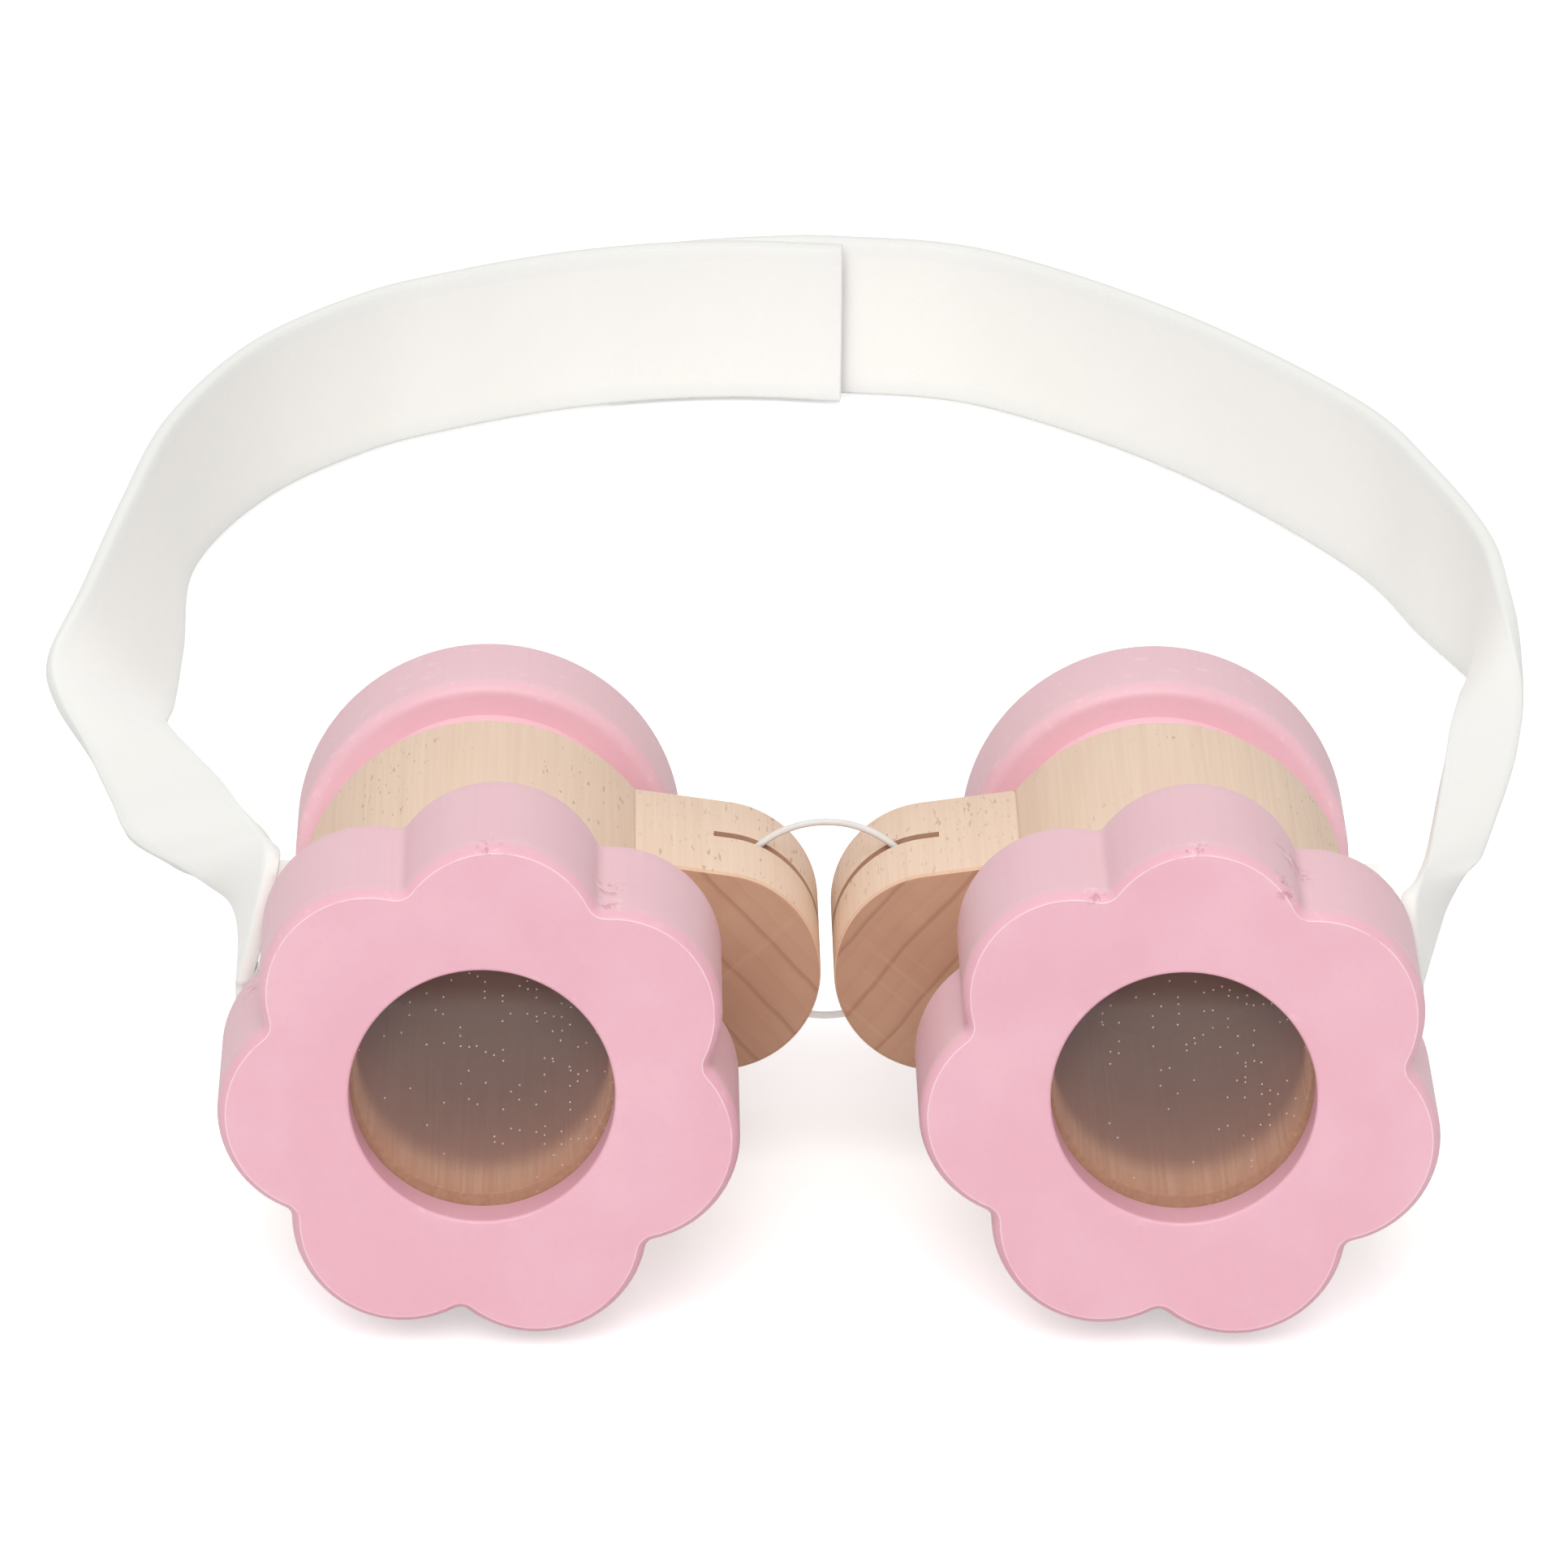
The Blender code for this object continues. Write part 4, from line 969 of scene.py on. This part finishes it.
def band_row(outward, off, height, flare=0.0):
    """The tape's back and front edge on the barrel's side, off from it."""
    x = outward * (BARREL_SIDE + off)
    back = Vector((x + outward * flare, ANCHOR_Y + TAPE_WIDTH / 2, height))
    front = Vector((x, ANCHOR_Y - TAPE_WIDTH / 2, height))
    return [back, front]


def hem_rows(outward, flare):
    """The doubled end: down the inner layer, round the turn and up the outer layer.

    Also gives how far each row's front edge is lifted off the barrel."""
    radius = (OUTER_LAYER - INNER_LAYER) / 2
    middle = INNER_LAYER + radius
    low = ANCHOR_Z - HEM_DROP + radius
    high = ANCHOR_Z + HEM_RISE
    rows = []
    lifts = []
    down_steps = 40
    least_lift = 0.25
    lift_steps = 14
    for step in range(down_steps):
        rows.append(band_row(outward, INNER_LAYER, high + (low - high) * step / down_steps))
        lifts.append(outward * FRONT_LIFT * min(1.0, least_lift + step / lift_steps))
    turn_steps = 12
    for step in range(turn_steps + 1):
        turn = math.pi * step / turn_steps
        rows.append(band_row(outward, middle - radius * math.cos(turn), low - radius * math.sin(turn)))
        lifts.append(outward * FRONT_LIFT * (1.0 - step / turn_steps))
    top = ANCHOR_Z + HEM_RISE / 2
    up_steps = 9
    for step in range(1, up_steps):
        height = low + (top - low) * step / up_steps
        rows.append(band_row(outward, OUTER_LAYER, height, flare * max(0.0, (height - low) / (top - low))))
        lifts.append(0.0)
    return rows, lifts


def turn_stations(outward, turn):
    """The turn's stations as points on one side of the toy."""
    stations = []
    for edges in turn:
        row = []
        for off, back, height in edges:
            row.append(Vector((outward * (TURN_SIDE + off), TURN_BACK + back, height)))
        stations.append(row)
    return stations


def back_row(x, sag, middle, behind):
    """The tape's upper and lower edge where it stands at the back of the loop."""
    y = BACK_Y - sag * ((x - middle) / BARREL_SIDE) ** 2 + behind
    return [Vector((x, y, STRAP_LIFT + TAPE_WIDTH)), Vector((x, y, STRAP_LIFT))]


def spaced(first, last, count):
    """Evenly spaced values, with both ends."""
    return [first + (last - first) * i / (count - 1) for i in range(count)]


def ribbon_mesh(name, rows, thickness, columns=16, lifts=(), width=TAPE_WIDTH):
    """A tape with full selvedges between the two edges of each row, with metres along and across as UV."""
    middles = [(first + second) / 2 for first, second in rows]
    hem_count = len(lifts)
    rim = SELVEDGE / width
    profile = [(0.0, 0.70), (SELVEDGE_CORNER / width, 0.90), (rim, 1.0)]
    profile += [(rim + (1.0 - 2.0 * rim) * j / columns, 1.0) for j in range(1, columns)]
    profile += [(1.0 - s, plump) for s, plump in profile[2::-1]]
    bm = bmesh.new()
    uv = bm.loops.layers.uv.new("UVMap")
    hem_layer = bm.verts.layers.float.new("hem")
    seam_shadow_layer = bm.verts.layers.float.new("seam")
    rings = []
    coords = []
    run = 0.0
    for i, (first, second) in enumerate(rows):
        ahead = middles[min(i + 1, len(rows) - 1)] - middles[max(i - 1, 0)]
        across = first - second
        if i < hem_count:
            across = Vector((0.0, across.y, across.z))
        normal = ahead.cross(across).normalized() * thickness / 2
        if i:
            run += (middles[i] - middles[i - 1]).length
        upper = []
        lower = []
        for s, plump in profile:
            point = second.lerp(first, s)
            if i < hem_count:
                flare = max(0.0, (s - (1.0 - FLARE_SHARE)) / FLARE_SHARE)
                point.x = second.x + (first.x - second.x) * smooth(flare)
                front = max(0.0, 1.0 - s / FRONT_SHARE)
                point.x += lifts[i] * smooth(front)
            upper.append((point + normal * plump, (run, s * width)))
            lower.append((point - normal * plump, (run, s * width)))
        ring = []
        for point, _ in upper + lower[::-1]:
            vert = bm.verts.new(point + SHIFT)
            vert[hem_layer] = 1.0 if i < hem_count else 0.0
            # Painted shadow of the lap, strongest at LAP_RIGHT, only at the back of the loop.
            from_seam_shadow = (point.x - LAP_RIGHT) / SEAM_SHADOW_SPREAD
            vert[seam_shadow_layer] = math.exp(-from_seam_shadow * from_seam_shadow) if point.y > LOOP_BACK else 0.0
            ring.append(vert)
        rings.append(ring)
        coords.append([pair for _, pair in upper + lower[::-1]])
    size = len(rings[0])

    def face_of(*corners):
        face = bm.faces.new([rings[i][k] for i, k in corners])
        for loop, (i, k) in zip(face.loops, corners):
            loop[uv].uv = coords[i][k]

    last = len(rings) - 1
    for i in range(last):
        for k in range(size):
            m = (k + 1) % size
            face_of((i, k), (i, m), (i + 1, m), (i + 1, k))
    for k in range(size // 2 - 1):
        face_of((0, k + 1), (0, k), (0, size - 1 - k), (0, size - 2 - k))
        face_of((last, k), (last, k + 1), (last, size - 2 - k), (last, size - 1 - k))
    return finish_mesh(bm, name, 50.0), run


def build_strap():
    """Two tapes that lap at the back over a pair of closure patches."""
    left_back = [back_row(x, LEFT_SAG, LEFT_MIDDLE, 0.0) for x in spaced(LEFT_START, LAP_RIGHT, 6)]
    right_back = []
    for x in (RIGHT_START, RIGHT_START / 2):
        right_back.append(back_row(x, RIGHT_SAG, RIGHT_MIDDLE, LAP_OFFSET - RIGHT_INSET))
    lap_steps = 3
    for step, x in enumerate(spaced(LAP_RIGHT, -LAP_LEFT, lap_steps + 1)):
        upper, lower = back_row(x, LEFT_SAG, LEFT_MIDDLE, LAP_OFFSET)
        right_back.append([upper - Vector((0.0, 0.0, LAP_DROP * step / lap_steps)), lower])
    for side, turn, back, bend in (
        ("left", LEFT_TURN, left_back, LEFT_BEND),
        ("right", RIGHT_TURN, right_back, RIGHT_BEND),
    ):
        outward = OUTWARD[side]
        flare = EDGE_FLARE if side == "right" else 0.0
        hem, lifts = hem_rows(outward, flare)
        top = band_row(outward, OUTER_LAYER, ANCHOR_Z + HEM_RISE / 2, flare)
        rows = hem + spline_rows([top] + turn_stations(outward, turn) + back)
        mesh, length = ribbon_mesh(f"{side}_strap", rows, TAPE_THICKNESS, lifts=lifts + [0.0])
        tape = add_piece(f"{side}_strap", mesh, TAPE)
        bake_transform(tape)
        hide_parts(f"strap_{side}_tape")
    for name, offset, tone, bend in (
        ("closure_hook", HOOK_OFFSET, srgb(232, 231, 226), LEFT_BEND),
        ("closure_loop", LOOP_OFFSET, srgb(240, 239, 235), RIGHT_BEND),
    ):
        rows = []
        inset = Vector((0.0, 0.0, PATCH_INSET))
        for x in spaced(PATCH_INSET - LAP_LEFT, LAP_RIGHT - PATCH_INSET, 19):
            upper, lower = back_row(x, LEFT_SAG, LEFT_MIDDLE, offset)
            rows.append([upper - inset, lower + inset])
        mesh, length = ribbon_mesh(name, rows, PATCH_THICKNESS, columns=8, width=PATCH_WIDTH)
        patch = add_piece(name, mesh, nap_patch(name, tone))
        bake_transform(patch)
        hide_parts(name + "_patch")


def build_stage():
    """A white table, a sky that is brighter above and behind, and one large soft light in front."""
    bm = bmesh.new()
    bmesh.ops.create_grid(bm, x_segments=1, y_segments=1, size=FLOOR_SIZE)
    n = Nodes("floor")
    path = n.add("LightPath")
    spot = n.split(n.add("TexCoord").outputs["Object"])
    far = n.math("LESS_THAN", spot["Y"], TABLE_EDGE)
    dim = n.math("MULTIPLY", far, path.outputs["Is Glossy Ray"])
    n.set(Base_Color=n.mix(dim, PAPER, ROOM), Roughness=0.9, Specular_IOR_Level=0.0, Emission_Color=WHITE)
    n.set(Emission_Strength=n.math("MULTIPLY", path.outputs["Is Camera Ray"], FLOOR_LIFT))
    floor = add_piece("floor", finish_mesh(bm, "floor"), n.owner)
    floor.location.z = -FLOOR_DROP
    sky = Nodes("studio", bpy.data.worlds.new("studio"))
    toward = sky.split(sky.add("TexCoord").outputs["Generated"])
    above = sky.math("MULTIPLY", sky.ramp(toward["Z"], 0.0, 1.0), SKY_TOP)
    behind = sky.math("MULTIPLY", sky.ramp(toward["Y"], -0.1, 0.9), SKY_BACK)
    sky.set(Color=WHITE, Strength=sky.math("ADD", sky.math("ADD", above, behind), SKY_LEAST))
    bpy.context.scene.world = sky.owner
    light = bpy.data.lights.new("key", "AREA")
    light.shape = "SQUARE"
    light.size = KEY_SIZE
    light.energy = KEY_POWER
    key = bpy.data.objects.new("key", light)
    bpy.context.scene.collection.objects.link(key)
    key.location = KEY_PLACE
    key.rotation_euler = (Vector(KEY_AIM) - Vector(KEY_PLACE)).to_track_quat("-Z", "Y").to_euler()


def build_camera():
    """The camera at the photograph's angle."""
    level = math.cos(CAMERA_LIFT)
    ahead = Vector((math.sin(CAMERA_SWING) * level, math.cos(CAMERA_SWING) * level, -math.sin(CAMERA_LIFT)))
    right = Vector((math.cos(CAMERA_SWING), -math.sin(CAMERA_SWING), 0.0))
    up = right.cross(ahead)
    right, up = (
        right * math.cos(CAMERA_ROLL) + up * math.sin(CAMERA_ROLL),
        up * math.cos(CAMERA_ROLL) - right * math.sin(CAMERA_ROLL),
    )
    place = CAMERA_TARGET - ahead * CAMERA_DISTANCE
    basis = Matrix((right, up, -ahead)).transposed().to_4x4()
    camera = bpy.data.cameras.new("camera")
    camera.sensor_width = SENSOR_WIDTH
    camera.lens = FOCAL_PIXELS / PHOTO_PIXELS * SENSOR_WIDTH
    camera.clip_start = 0.05
    camera.clip_end = 20.0
    obj = bpy.data.objects.new("camera", camera)
    bpy.context.scene.collection.objects.link(obj)
    obj.matrix_world = TOY @ Matrix.Translation(place) @ basis
    bpy.context.scene.camera = obj


CORD = cord_white("white_cord")
TAPE = cotton_tape("cotton_tape")
STEEL = plated_steel("plated_steel")
DOWEL = dowel_wood("dowel")

build_half("left")
build_half("right")
build_cord()
build_strap()
build_stage()
build_camera()
bpy.context.scene.view_settings.view_transform = "Standard"

bpy.context.view_layer.update()
